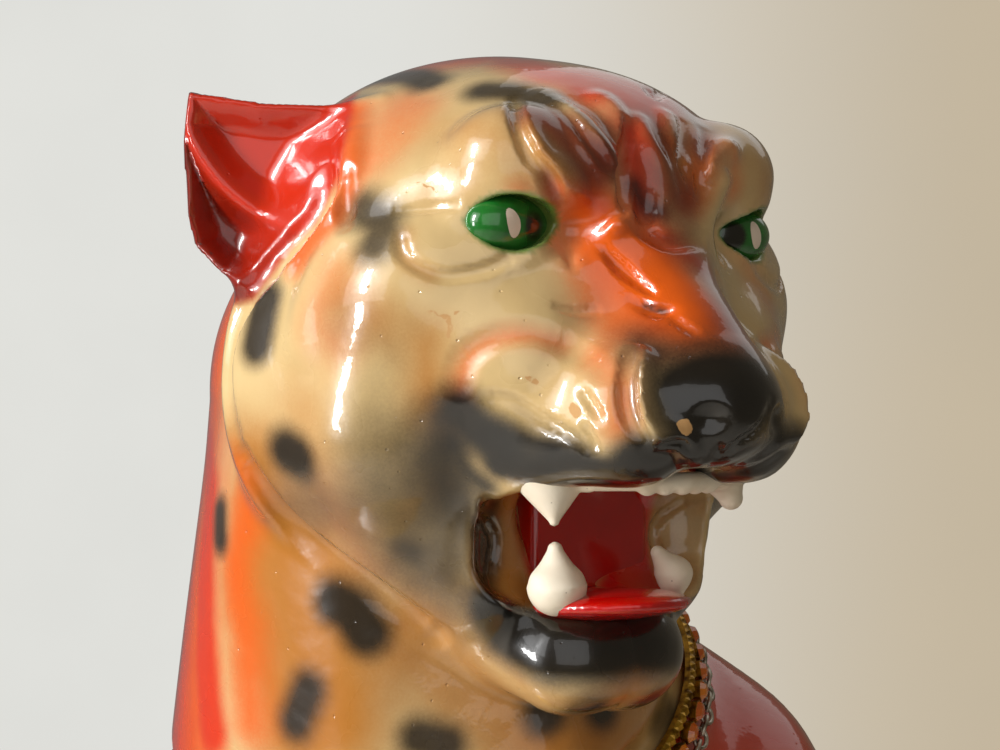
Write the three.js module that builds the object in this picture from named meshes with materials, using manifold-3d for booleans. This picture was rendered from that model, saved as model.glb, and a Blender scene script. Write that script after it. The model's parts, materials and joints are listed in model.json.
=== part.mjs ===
// Seated leopard figurine in glazed earthenware, roaring over its left shoulder, with a jewelled collar.
// Millimetres, +Z up. The body faces -Y and the head is turned towards +X.
import * as THREE from "three";
import { mergeVertices } from "three/addons/utils/BufferGeometryUtils.js";
import Module from "manifold-3d";

const wasm = await Module();
wasm.setup();

// Clearances and walls
const seatGap = 0.3;
const luteGap = 0.6;
const bodyWall = 8;
const felt = { thick: 1.7, radius: 13 };
const footHeight = felt.thick + seatGap;

// The collar's middle and the lean of its plane towards the chest
const collarHeight = 447;
const collarBack = -15;
const collarLean = 34;

// The neck is a cone round the collar's axis
const neckRadius = 72;
const neckFlare = 0.24;

// The middle of the eyes above the collar's, and how far the head is turned from the body's line
const eyeRise = 131;
const eyeLeft = 76;
const eyeFront = 66;
const headTurn = 60;

// Collar strands, across the band from the head side to the chest side
const collarEase = 0.5;
const strandGap = 0.4;
const stripWide = 3.6;
const stripThick = 2.4;
const stoneWide = 4.6;
const stoneCount = 54;
const linkWide = 4.8;
const linkCount = 48;
const claspHalfAngle = 11;

// Height of the joint between the forelegs and the chest
const elbowHeight = 232;

// Eyes and teeth
const eyeApart = 33;
const eyeSize = [12.5, 8, 7.6];
const eyeSwing = 12.5;

// The forms below are written for a neck of 72 mm with its collar 447 mm up, and grow with these two
const formScale = neckRadius / 72;
const formRise = collarHeight / 447;

const eyeHeight = collarHeight + eyeRise;
const bandWide = stripWide + stoneWide + linkWide + 2 * strandGap;
const rad = THREE.MathUtils.degToRad;
const scaled = (values) => values.map((value) => value * formScale);
const lean = rad(collarLean);
const turn = rad(headTurn);

// Form fields: the distance to a surface in millimetres, negative inside

// Joins two forms with a fillet of about this size
function join(a, b, fillet) {
  const h = Math.max(fillet - Math.abs(a - b), 0) / fillet;
  return Math.min(a, b) - (h * h * fillet) / 4;
}

// An egg with three radii, tipped about X and then swung about Z, in degrees
function egg(center, radii, tip = 0, swing = 0) {
  const turned = new THREE.Euler(rad(tip), 0, rad(swing), "ZYX");
  const m = new THREE.Matrix4().makeRotationFromEuler(turned).elements;
  const [rx, ry, rz] = radii;
  return (x, y, z) => {
    const dx = x - center[0];
    const dy = y - center[1];
    const dz = z - center[2];
    const px = (m[0] * dx + m[1] * dy + m[2] * dz) / rx;
    const py = (m[4] * dx + m[5] * dy + m[6] * dz) / ry;
    const pz = (m[8] * dx + m[9] * dy + m[10] * dz) / rz;
    const near = Math.hypot(px, py, pz);
    const slope = Math.hypot(px / rx, py / ry, pz / rz);
    return slope < 1e-9 ? -Math.min(rx, ry, rz) : (near * (near - 1)) / slope;
  };
}

// A limb from one point to another whose radius changes along it
function limb(from, to, startRadius, endRadius) {
  const along = to.map((value, axis) => value - from[axis]);
  const square = along[0] ** 2 + along[1] ** 2 + along[2] ** 2;
  return (x, y, z) => {
    const dx = x - from[0];
    const dy = y - from[1];
    const dz = z - from[2];
    const dot = (dx * along[0] + dy * along[1] + dz * along[2]) / square;
    const t = Math.min(1, Math.max(0, dot));
    const off = Math.hypot(dx - t * along[0], dy - t * along[1], dz - t * along[2]);
    return off - startRadius - (endRadius - startRadius) * t;
  };
}

// The same form on the left and the right
function pair(form) {
  return (x, y, z) => form(Math.abs(x), y, z);
}

// One field from forms, each with the fillet that joins it to those before it
function joined(parts) {
  return (x, y, z) => parts.reduce((d, [form, fillet]) => join(d, form(x, y, z), fillet), 1e3);
}

// A field less others, each with its edge rounding
function carved(field, cuts) {
  return (x, y, z) => cuts.reduce((d, [form, edge]) => -join(-d, form(x, y, z), edge), field(x, y, z));
}

// A field made wider and deeper by one factor and taller by another
function sized(field, wider, taller) {
  const least = Math.min(wider, taller);
  return (x, y, z) => field(x / wider, y / wider, z / taller) * least;
}

// Grid lines for such a field
function sizedLines([xs, ys, zs], wider, taller) {
  const times = (factor) => (value) => value * factor;
  return [xs.map(times(wider)), ys.map(times(wider)), zs.map(times(taller))];
}

// Grid lines from a start through zones of [end, spacing]
function gridLines(start, zones) {
  const lines = [start];
  for (const [end, spacing] of zones) {
    const from = lines.at(-1);
    const count = Math.max(1, Math.round((end - from) / spacing));
    for (let i = 1; i <= count; i++) lines.push(from + ((end - from) * i) / count);
  }
  return lines;
}

// Turns a field into a closed skin: one point in each cell that the surface crosses, joined across the edges
function skin(field, xs, ys, zs) {
  const lines = [xs, ys, zs];
  const size = lines.map((line) => line.length);
  const stride = [1, size[0], size[0] * size[1]];
  const values = new Float64Array(size[0] * size[1] * size[2]);
  const inner = (at) => at.every((i, axis) => i > 0 && i < size[axis] - 1);
  for (let k = 0; k < size[2]; k++) {
    for (let j = 0; j < size[1]; j++) {
      for (let i = 0; i < size[0]; i++) {
        const value = inner([i, j, k]) ? field(xs[i], ys[j], zs[k]) : 1;
        values[i + j * stride[1] + k * stride[2]] = value || 1e-6;
      }
    }
  }
  const indexOf = (at) => at[0] + at[1] * stride[1] + at[2] * stride[2];
  fillDiagonalCells(values, size, stride);

  const points = [];
  const pointOfEdge = new Map();
  const cellOf = (at) => indexOf(at) * 12;
  for (let k = 0; k < size[2] - 1; k++) {
    for (let j = 0; j < size[1] - 1; j++) {
      for (let i = 0; i < size[0] - 1; i++) {
        const at = [i, j, k];
        for (const loop of crossingLoops(values, indexOf(at), stride)) {
          const mean = [0, 0, 0];
          for (const edge of loop) {
            const crossing = edgeCrossing(values, lines, at, edge, stride);
            crossing.forEach((value, axis) => (mean[axis] += value / loop.length));
            pointOfEdge.set(cellOf(at) + edge, points.length / 3);
          }
          points.push(...mean);
        }
      }
    }
  }

  const faces = [];
  for (let axis = 0; axis < 3; axis++) {
    const [u, v] = [(axis + 1) % 3, (axis + 2) % 3];
    for (let index = 0; index < values.length; index++) {
      const at = [index % size[0], Math.floor(index / stride[1]) % size[1], Math.floor(index / stride[2])];
      if (at[axis] === size[axis] - 1 || at[u] === 0 || at[v] === 0) continue;
      if (values[index] < 0 === values[index + stride[axis]] < 0) continue;
      const ring = [[1, 1], [0, 1], [0, 0], [1, 0]].map(([nearU, nearV]) => {
        const cell = cellOf(at) - 12 * (nearU * stride[u] + nearV * stride[v]);
        return pointOfEdge.get(cell + axis * 4 + nearU + 2 * nearV);
      });
      if (values[index] > 0) ring.reverse();
      faces.push(...splitQuad(points, ring));
    }
  }
  const geometry = new THREE.BufferGeometry();
  geometry.setAttribute("position", new THREE.Float32BufferAttribute(points, 3));
  geometry.setIndex(faces);
  return geometry;
}

// Fills a corner wherever two corners touch only across a face's diagonal
function fillDiagonalCells(values, size, stride) {
  let changed = true;
  while (changed) {
    changed = false;
    for (let axis = 0; axis < 3; axis++) {
      const [u, v] = [stride[(axis + 1) % 3], stride[(axis + 2) % 3]];
      for (let index = 0; index + u + v < values.length; index++) {
        const corners = [index, index + u, index + u + v, index + v];
        const [a, b, c, d] = corners.map((corner) => values[corner] < 0);
        if (a !== c || b !== d || a === b) continue;
        const empty = corners.filter((corner) => values[corner] > 0);
        const nearest = values[empty[0]] < values[empty[1]] ? empty[0] : empty[1];
        values[nearest] = -1e-3;
        changed = true;
      }
    }
  }
}

// The edges of a cell that the surface crosses, in closed loops
function crossingLoops(values, base, stride) {
  const crossed = [];
  for (let axis = 0; axis < 3; axis++) {
    const [u, v] = [stride[(axis + 1) % 3], stride[(axis + 2) % 3]];
    for (let place = 0; place < 4; place++) {
      const start = base + (place & 1) * u + (place >> 1) * v;
      if (values[start] < 0 !== values[start + stride[axis]] < 0) crossed.push(axis * 4 + place);
    }
  }
  const loops = crossed.map((edge) => [edge]);
  for (let face = 0; face < 6 && crossed.length; face++) {
    const met = crossed.filter((edge) => onFace(edge, face));
    if (met.length < 2) continue;
    const first = loops.find((loop) => loop.includes(met[0]));
    const second = loops.find((loop) => loop.includes(met[1]));
    if (first === second) continue;
    first.push(...second);
    loops.splice(loops.indexOf(second), 1);
  }
  return loops;
}

// Whether a cell's edge lies on one of its six faces
function onFace(edge, face) {
  const across = face >> 1;
  const side = face & 1;
  const axis = edge >> 2;
  if (axis === across) return false;
  const place = edge & 3;
  return ((axis + 1) % 3 === across ? place & 1 : place >> 1) === side;
}

// Where the surface crosses one edge of a cell
function edgeCrossing(values, lines, at, edge, stride) {
  const axis = edge >> 2;
  const start = [...at];
  start[(axis + 1) % 3] += edge & 1;
  start[(axis + 2) % 3] += (edge >> 1) & 1;
  const index = start[0] + start[1] * stride[1] + start[2] * stride[2];
  const t = values[index] / (values[index] - values[index + stride[axis]]);
  const from = lines[axis][start[axis]];
  const to = lines[axis][start[axis] + 1];
  return start.map((i, other) => (other === axis ? from + t * (to - from) : lines[other][i]));
}

// Two triangles from four points, split along the shorter diagonal
function splitQuad(points, [a, b, c, d]) {
  const apart = (p, q) => Math.hypot(...[0, 1, 2].map((i) => points[p * 3 + i] - points[q * 3 + i]));
  return apart(a, c) <= apart(b, d) ? [a, b, c, a, c, d] : [a, b, d, b, c, d];
}

// A closed solid from a geometry
function solidOf(geometry) {
  const plain = geometry.clone();
  plain.deleteAttribute("normal");
  plain.deleteAttribute("uv");
  const welded = mergeVertices(plain, 1e-4);
  const vertProperties = Float32Array.from(welded.attributes.position.array);
  const triVerts = Uint32Array.from(welded.index.array);
  return new wasm.Manifold(new wasm.Mesh({ numProp: 3, vertProperties, triVerts }));
}

// The largest body of a solid, as a geometry
function geometryOf(solid) {
  const bodies = solid.decompose();
  const largest = bodies.reduce((a, b) => (a.volume() >= b.volume() ? a : b));
  const mesh = largest.getMesh();
  const geometry = new THREE.BufferGeometry();
  geometry.setAttribute("position", new THREE.Float32BufferAttribute(mesh.vertProperties, 3));
  geometry.setIndex([...mesh.triVerts]);
  return geometry;
}

// A box geometry between two corners
function boxBetween(low, high) {
  const size = high.map((value, axis) => value - low[axis]);
  const middle = high.map((value, axis) => (value + low[axis]) / 2);
  return new THREE.BoxGeometry(...size).translate(...middle);
}

// A geometry with rings of points along a path, closed at both ends
function sweep(path, radiusAt, steps, sides) {
  const frames = path.computeFrenetFrames(steps);
  const rings = [];
  for (let i = 0; i <= steps; i++) {
    const t = i / steps;
    const middle = path.getPointAt(t);
    const ring = [];
    for (let side = 0; side < sides; side++) {
      const angle = (2 * Math.PI * side) / sides;
      const point = middle.clone();
      point.addScaledVector(frames.normals[i], radiusAt(t) * Math.cos(angle));
      point.addScaledVector(frames.binormals[i], radiusAt(t) * Math.sin(angle));
      ring.push(point);
    }
    rings.push(ring);
  }
  return bridged(rings);
}

// Joins rings of equal length into one closed skin, capped at its ends
function bridged(rings) {
  const sides = rings[0].length;
  const points = rings.flat().flatMap((point) => [point.x, point.y, point.z]);
  const faces = [];
  const end = (rings.length - 1) * sides;
  for (let here = 0; here < end; here += sides) {
    const next = here + sides;
    for (let side = 0; side < sides; side++) {
      const other = (side + 1) % sides;
      faces.push(here + side, here + other, next + other, here + side, next + other, next + side);
    }
  }
  for (let side = 1; side < sides - 1; side++) {
    faces.push(0, side + 1, side, end, end + side, end + side + 1);
  }
  const geometry = new THREE.BufferGeometry();
  geometry.setAttribute("position", new THREE.Float32BufferAttribute(points, 3));
  geometry.setIndex(faces);
  return geometry;
}

// The collar's own frame: its middle, its axis, and a point's place along and round that axis
const collarMiddle = [0, collarBack, collarHeight];
const collarPlace = new THREE.Matrix4().makeRotationX(lean).setPosition(...collarMiddle);

const neckAt = (along) => neckRadius - neckFlare * along;

// How far a point is above the collar's plane, and its distance to the neck's cone
function neckPlace(x, y, z) {
  const dy = y - collarBack;
  const dz = z - collarHeight;
  const along = dz * Math.cos(lean) - dy * Math.sin(lean);
  const out = Math.hypot(x, dy * Math.cos(lean) + dz * Math.sin(lean));
  return { along, cone: (out - neckAt(along)) * Math.cos(Math.atan(neckFlare)) };
}

// From the head's own frame, with the middle of the eyes at its origin, to the body's
function bodyPoint(x, y, z) {
  const left = x * Math.cos(turn) - y * Math.sin(turn) + eyeLeft;
  const back = x * Math.sin(turn) + y * Math.cos(turn) - eyeFront;
  return [left, back, z + eyeHeight];
}

// From the body's frame to the head's own
function headPoint(x, y, z) {
  const dx = x - eyeLeft;
  const dy = y + eyeFront;
  const left = dx * Math.cos(turn) + dy * Math.sin(turn);
  const back = dy * Math.cos(turn) - dx * Math.sin(turn);
  return [left, back, z - eyeHeight];
}

const headPlace = new THREE.Matrix4().makeRotationZ(turn).setPosition(eyeLeft, -eyeFront, eyeHeight);

// Blends from 0 to 1 while a value rises from low to high
function ease(value, low, high) {
  const t = Math.min(1, Math.max(0, (value - low) / (high - low)));
  return t * t * (3 - 2 * t);
}

// Skull, muzzle, cheeks and jaw, in the head's frame
const face = joined([
  [egg([0, 52, 0], [62, 62, 46]), 1],
  [egg([0, 16, 4], [44, 30, 30]), 16],
  [pair(egg([26, -2, 13], [18, 12, 9], 0, 14)), 8],
  [limb([0, 6, -6], [0, -27, -38], 19, 16), 14],
  [pair(egg([45, 26, -18], [22, 26, 20])), 14],
  [pair(egg([44, 34, -46], [25, 26, 28])), 16],
  [pair(egg([27, 10, -34], [23, 28, 24])), 14],
  [pair(egg([16, -20, -45], [17, 19, 18])), 6],
  [pair(egg([25, 4, -49], [14, 25, 17])), 8],
  [egg([0, -31, -43], [16, 16, 15]), 4],
  [pair(egg([49, 57, -38], [26, 24, 42])), 14],
  [pair(egg([28, 46, -76], [24, 26, 26])), 14],
  [pair(limb([22, 44, -88], [9, 11, -103], 20, 13)), 10],
  [pair(egg([29, 17, -77], [8, 14, 18])), 12],
]);
const eyeHollow = egg([eyeApart / formScale, -8, -2], [12, 9, 8]);
const features = carved(face, [
  [egg([0, -8, -78], [27, 26, 15]), 4],
  [pair(eyeHollow), 3],
]);
const headForm = sized(features, formScale, formScale);

// Head and upper neck: the face runs into a neck that is round under the collar
const collarInHead = headPoint(...collarMiddle);
const nape = limb(collarInHead, scaled([-2, 84, -40]), neckRadius - 3, 58 * formScale);
function headField(x, y, z) {
  const place = neckPlace(...bodyPoint(x, y, z));
  const neck = join(nape(x, y, z), place.cone + Math.max(0, place.along) * 0.25, 20);
  const whole = join(headForm(x, y, z), neck, 5);
  return place.cone + (whole - place.cone) * ease(place.along, 9, 20);
}

// Ear in the head's frame: a leaned shell with a cup in its front
const earShell = joined([
  [egg([69, 60, 6], [16, 12, 23], 0, -20), 1],
  [limb([56, 62, 20], [84, 61, 29], 13, 4), 8],
  [egg([62, 60, 4], [16, 15, 20]), 8],
]);
const earCup = egg([76, 48, 2], [13, 13, 17], 0, -20);
const ear = sized(carved(earShell, [[earCup, 2]]), formScale, formScale);

// Chest, back, haunches and hind feet
const trunkForm = joined([
  [limb([0, -15, 464], [0, -30, 380], 72, 84), 1],
  [egg([0, -42, 338], [88, 78, 104]), 40],
  [pair(egg([60, -36, 335], [44, 54, 76])), 30],
  [pair(egg([52, 16, 382], [58, 64, 88])), 24],
  [limb([0, 4, 385], [0, 78, 225], 78, 98), 40],
  [egg([0, 12, 190], [64, 56, 92]), 30],
  [egg([0, 104, 104], [104, 98, 136]), 40],
  [pair(egg([86, 66, 108], [48, 96, 116])), 24],
  [pair(egg([102, -6, 80], [32, 44, 62])), 22],
  [pair(limb([110, 44, 18], [110, -40, 16], 26, 23)), 16],
  [pair(egg([110, -50, 14], [29, 31, 28])), 10],
  [pair(limb([56, -60, 305], [54, -82, 240], 46, 39)), 20],
]);
const trunk = sized(trunkForm, formScale, formRise);
function trunkField(x, y, z) {
  const place = neckPlace(x, y, z);
  const whole = join(trunk(x, y, z), place.cone + Math.max(0, -place.along - 44) * 0.8, 16);
  return place.cone + (whole - place.cone) * ease(-place.along, 10, 26);
}

// One foreleg from the elbow to the toes
const forelegForm = joined([
  [limb([54, -82, 250], [54, -96, 150], 38, 31), 1],
  [limb([54, -96, 150], [54, -110, 56], 31, 28), 8],
  [egg([54, -128, 18], [34, 43, 34]), 14],
]);
const foreleg = sized(forelegForm, formScale, formRise);

const trunkGrid = [
  gridLines(-160, [[160, 20]]),
  gridLines(-150, [[230, 20]]),
  gridLines(-20, [[400, 20], [510, 15]]),
];
const headGrid = [
  gridLines(-98, [[-44, 13.5], [44, 5.9], [98, 13.5]]),
  gridLines(-54, [[23, 5.9], [179, 15.6]]),
  gridLines(-188, [[-120, 12], [54, 6.4]]),
];
const trunkLines = sizedLines(trunkGrid, formScale, formRise);
const headLines = sizedLines(headGrid, formScale, formScale);

// A field grown outward, or shrunk when the amount is negative
const grown = (field, amount) => (x, y, z) => field(x, y, z) - amount;

// Everything on one side of the collar's plane
function beyondSeam(direction) {
  const far = 400;
  const low = direction > 0 ? seatGap / 2 : -2 * far;
  const block = boxBetween([-far, -far, low], [far, far, low + 2 * far - seatGap / 2]);
  return solidOf(block.applyMatrix4(collarPlace));
}

// The ring-shaped space of the collar, taken from what lies round the neck
function collarChannel() {
  const half = bandWide / 2 + 1.5;
  const corners = [
    [neckAt(-half), -half],
    [neckRadius + 60, -half],
    [neckRadius + 60, half],
    [neckAt(half), half],
    [neckAt(-half), -half],
  ].map(([out, along]) => new THREE.Vector2(out, along));
  const ring = new THREE.LatheGeometry(corners, 72).rotateX(Math.PI / 2);
  return solidOf(ring.applyMatrix4(collarPlace));
}

// Everything above the floor pads
const aboveFloor = () => solidOf(boxBetween([-500, -500, footHeight], [500, 500, 1000]));

// The block round the left foreleg below its joint, drawn in by a gap
const elbowDrop = 42;
function elbowBlock(gap, drop) {
  const [inner, outer, back] = scaled([14, 106, -48]);
  const low = [inner + gap, -1000, elbowHeight - drop];
  return solidOf(boxBetween(low, [outer - gap, back - gap, elbowHeight - gap]));
}

// The trunk is hollow, with a round vent in its floor and an open neck
const neckInside = neckRadius - bodyWall - 2;
const ventRadius = 34;
function makeTrunk() {
  const outside = solidOf(skin(trunkField, ...trunkLines)).intersect(aboveFloor());
  const floorTop = footHeight + bodyWall;
  const hollow = (x, y, z) => Math.max(trunkField(x, y, z) + bodyWall, floorTop - z, z - collarHeight);
  const neckHole = new THREE.CylinderGeometry(neckInside, neckInside, 68 * formScale, 32);
  neckHole.rotateX(Math.PI / 2).applyMatrix4(collarPlace);
  const wallRound = elbowBlock(-bodyWall, elbowDrop + bodyWall);
  const inside = solidOf(skin(hollow, ...trunkLines))
    .subtract(wallRound)
    .subtract(wallRound.mirror([1, 0, 0]));
  const vent = new THREE.CylinderGeometry(ventRadius, ventRadius, 60, 32).rotateX(Math.PI / 2);
  vent.translate(0, 90 * formScale, 10);
  const leftElbow = elbowBlock(0, elbowDrop);
  return outside
    .subtract(leftElbow)
    .subtract(leftElbow.mirror([1, 0, 0]))
    .subtract(inside)
    .subtract(solidOf(neckHole))
    .subtract(solidOf(vent))
    .subtract(collarChannel())
    .intersect(beyondSeam(-1));
}

// The same skin grown, for what has to clear the trunk
const trunkClearance = () => solidOf(skin(grown(trunkField, luteGap), ...trunkLines));

// A foreleg's top takes the chest's shape, so that the two meet in one plane
function makeForeleg() {
  const field = (x, y, z) => {
    const top = Math.max(trunkField(x, y, z), elbowHeight - elbowDrop + 6 - z);
    return Math.min(foreleg(x, y, z), top);
  };
  const grid = [gridLines(0, [[112, 12.5]]), gridLines(-188, [[-32, 13]]), gridLines(-20, [[262, 16]])];
  const leg = solidOf(skin(field, ...sizedLines(grid, formScale, formRise)));
  return leg.intersect(elbowBlock(seatGap, 400)).intersect(aboveFloor());
}

// Eye: a glazed bead in a socket
function eyeGeometry(side, spare) {
  const bead = new THREE.SphereGeometry(1, 16, 8);
  bead.scale(...eyeSize.map((radius) => radius + spare));
  return bead.rotateZ(-side * rad(eyeSwing)).translate(side * eyeApart, ...scaled([3.4, -1.5]));
}

// A tooth: a rounded cone on a root, tip down or up, with some spare all round for its socket
function toothGeometry({ place, wide, deep, tall, root, up }, spare) {
  const around = spare / formScale;
  const outline = [
    [0, -root - around],
    [0.42, -root - around],
    [0.5, 0],
    [0.44, tall * 0.4],
    [0.24, tall * 0.82],
    [0.1, tall + around],
    [0, tall + around],
  ].map(([out, along]) => new THREE.Vector2(out && out + around / wide, along));
  const tooth = new THREE.LatheGeometry(outline, 12).rotateX(up ? Math.PI / 2 : -Math.PI / 2);
  return tooth.scale(wide, deep, 1).translate(...place).scale(formScale, formScale, formScale);
}

const upperCanine = { wide: 15, deep: 10, tall: 11, root: 7 };
const lowerCanine = { wide: 11.5, deep: 9, tall: 14, root: 7, up: true };
const teeth = {
  upper_canine_right: { ...upperCanine, place: [-25, -6, -61] },
  upper_canine_left: { ...upperCanine, place: [25, -6, -61] },
  lower_canine_right: { ...lowerCanine, place: [-16.5, 4, -89] },
  lower_canine_left: { ...lowerCanine, place: [16.5, 4, -89] },
};

// The strip behind the upper lip that holds the six small teeth
function incisorStrip(spare) {
  const [half, front, back, low, high] = scaled([12, -24, -18, -64, -54]);
  const corner = [half + spare, back + spare, high + spare];
  return solidOf(boxBetween([-half - spare, front - spare, low - spare], corner));
}

function incisors() {
  const crowns = [-10, -6, -2, 2, 6, 10].map((x) => {
    const crown = new THREE.ConeGeometry(2.4, 5, 6).rotateX(-Math.PI / 2).translate(x, -21, -65.4);
    return solidOf(crown.scale(formScale, formScale, formScale));
  });
  return crowns.reduce((whole, crown) => whole.add(crown), incisorStrip(0));
}

// The tongue is raised at the back and lies on the floor of the mouth
function tongueSolid() {
  const form = joined([
    [egg([0, 12, -84], [13, 20, 6], -14), 1],
    [egg([0, 22, -74], [13, 10, 15]), 6],
  ]);
  const grid = [gridLines(-20, [[20, 5]]), gridLines(-16, [[40, 5]]), gridLines(-98, [[-52, 5]])];
  const lines = sizedLines(grid, formScale, formScale);
  return solidOf(skin(sized(form, formScale, formScale), ...lines));
}

// The head is hollow too, open at the neck
function makeHead() {
  const outside = solidOf(skin(headField, ...headLines));
  const space = joined([
    [limb(collarInHead, scaled([0, 74, -48]), neckInside - 4, 44 * formScale), 1],
    [egg(scaled([0, 62, -6]), scaled([50, 46, 35])), 20],
  ]);
  const hollow = (x, y, z) => Math.max(space(x, y, z), headField(x, y, z) + bodyWall);
  const coarse = headLines.map((line) => gridLines(line[0], [[line.at(-1), 24 * formScale]]));
  const opening = new THREE.CylinderGeometry(neckInside, neckInside, 60 * formScale, 32);
  const toHead = headPlace.clone().invert();
  opening.rotateX(Math.PI / 2).applyMatrix4(collarPlace).applyMatrix4(toHead);
  let head = outside.subtract(solidOf(skin(hollow, ...coarse))).subtract(solidOf(opening));
  for (const side of [-1, 1]) head = head.subtract(solidOf(eyeGeometry(side, seatGap)));
  for (const tooth of Object.values(teeth)) head = head.subtract(solidOf(toothGeometry(tooth, seatGap)));
  head = head.subtract(incisorStrip(seatGap));
  const round = beyondSeam(1).subtract(collarChannel());
  return head.intersect(round.transform(toHead.elements));
}

// The same skin grown, for what has to clear the head
const headClearance = () => solidOf(skin(grown(headField, luteGap), ...headLines));

const glaze = (name, color, roughness = 0.12) =>
  new THREE.MeshStandardMaterial({ name, color, roughness, metalness: 0 });
const metal = (name, color, roughness = 0.3) =>
  new THREE.MeshStandardMaterial({ name, color, roughness, metalness: 1 });
const materials = {
  body: glaze("orange_glaze", 0xc4642a),
  face: glaze("cream_glaze", 0xd9b57a),
  ear: glaze("red_glaze", 0xa92f1c),
  eye: glaze("green_glaze", 0x1f8a3c, 0.08),
  tooth: glaze("ivory_paint", 0xece4d0, 0.5),
  tongue: glaze("mouth_glaze", 0xc01818, 0.1),
  felt: glaze("green_felt", 0x2f4a34, 0.95),
  gold: metal("gold_plate", 0xb98c3a),
  silver: metal("silver_plate", 0x9c9a96),
  stone: glaze("orange_stone", 0xf0701a, 0.05),
};

const leopard = new THREE.Group();
leopard.name = "leopard";
const headGroup = new THREE.Group();
headGroup.name = "head_pieces";
headGroup.applyMatrix4(headPlace);
const collarGroup = new THREE.Group();
collarGroup.name = "collar_pieces";
collarGroup.applyMatrix4(collarPlace);
leopard.add(headGroup, collarGroup);

function addPiece(parent, name, solid, material) {
  const geometry = geometryOf(solid);
  geometry.computeVertexNormals();
  const piece = new THREE.Mesh(geometry, material);
  piece.name = name;
  parent.add(piece);
  return piece;
}

addPiece(leopard, "torso", makeTrunk(), materials.body);
const leftForeleg = makeForeleg();
addPiece(leopard, "foreleg_left", leftForeleg, materials.body);
addPiece(leopard, "foreleg_right", leftForeleg.mirror([1, 0, 0]), materials.body);

// The tail lies round the left haunch
const tailPath = new THREE.CatmullRomCurve3(
  [
    [0, 150, 72],
    [14, 198, 40],
    [66, 222, 23],
    [130, 198, 21],
    [172, 124, 20],
    [180, 42, 20],
    [170, -34, 20],
    [156, -74, 24],
  ].map((point) => new THREE.Vector3(...scaled(point))),
);
const tailRadius = (t) => (23 - 5 * t - 150 * Math.max(0, t - 0.94)) * formScale;
const tail = solidOf(sweep(tailPath, tailRadius, 26, 10)).intersect(aboveFloor());
addPiece(leopard, "tail", tail.subtract(trunkClearance()), materials.body);

// Felt pads under the paws and the rump
const padPlaces = { front: [54, -126], rear: [46, 122] };
for (const [end, [x, y]] of Object.entries(padPlaces)) {
  for (const [side, word] of [[-1, "right"], [1, "left"]]) {
    const pad = new THREE.CylinderGeometry(felt.radius, felt.radius, felt.thick, 24).rotateX(Math.PI / 2);
    pad.translate(...scaled([side * x, y]), felt.thick / 2);
    addPiece(leopard, `felt_pad_${end}_${word}`, solidOf(pad), materials.felt);
  }
}

addPiece(headGroup, "head", makeHead(), materials.face);
const clearOfHead = headClearance();
for (const [side, word] of [[-1, "right"], [1, "left"]]) {
  const grid = [gridLines(34, [[96, 5]]), gridLines(34, [[84, 5]]), gridLines(-28, [[48, 5]])];
  const shell = solidOf(skin(ear, ...sizedLines(grid, formScale, formScale)));
  const placed = side > 0 ? shell : shell.mirror([1, 0, 0]);
  addPiece(headGroup, `ear_${word}`, placed.subtract(clearOfHead), materials.ear);
  addPiece(headGroup, `eye_${word}`, solidOf(eyeGeometry(side, 0)), materials.eye);
}
for (const [name, tooth] of Object.entries(teeth)) {
  addPiece(headGroup, name, solidOf(toothGeometry(tooth, 0)), materials.tooth);
}
addPiece(headGroup, "upper_incisors", incisors(), materials.tooth);
addPiece(headGroup, "tongue", tongueSolid().subtract(clearOfHead), materials.tongue);

// Where each strand lies along the collar's axis: its middle and its inner radius
function strand(fromTop, wide) {
  const along = bandWide / 2 - fromTop - wide / 2;
  return { along, inner: neckAt(along - wide / 2) + collarEase };
}
const stripPlace = strand(0, stripWide);
const stonePlace = strand(stripWide + strandGap, stoneWide);
const chainPlace = strand(stripWide + stoneWide + 2 * strandGap, linkWide);

// The strands run round the neck from one end bar to the other; the clasp is at the back
const endAngle = rad(claspHalfAngle);
const strandAngles = [Math.PI / 2 + endAngle, Math.PI / 2 + 2 * Math.PI - endAngle];
function roundPoint(angle, out, along) {
  return new THREE.Vector3(out * Math.cos(angle), out * Math.sin(angle), along);
}

// A bar bent round the neck with a four-cornered section, from one angle to another
function bentBar({ along, inner }, wide, thick, [start, end], steps, swellAt = () => 0) {
  const rings = [];
  for (let i = 0; i <= steps; i++) {
    const angle = start + ((end - start) * i) / steps;
    const swell = swellAt(i);
    const low = along - wide / 2;
    const high = along + wide / 2;
    rings.push([
      roundPoint(angle, inner, high),
      roundPoint(angle, inner + thick + swell, high - swell / 2),
      roundPoint(angle, inner + thick + swell, low + swell / 2),
      roundPoint(angle, inner, low),
    ]);
  }
  return solidOf(bridged(rings));
}

const strip = bentBar(stripPlace, stripWide, stripThick, strandAngles, 60);
addPiece(collarGroup, "collar_strip", strip, materials.gold);

// Every other step of the stone row stands out as a cut stone between its cups
const stoneSwell = (i) => (i % 2 ? 1.6 : 0);
const stoneRow = bentBar(stonePlace, stoneWide, 2.2, strandAngles, stoneCount * 2, stoneSwell);
addPiece(collarGroup, "stone_row", stoneRow, materials.stone);

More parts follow.
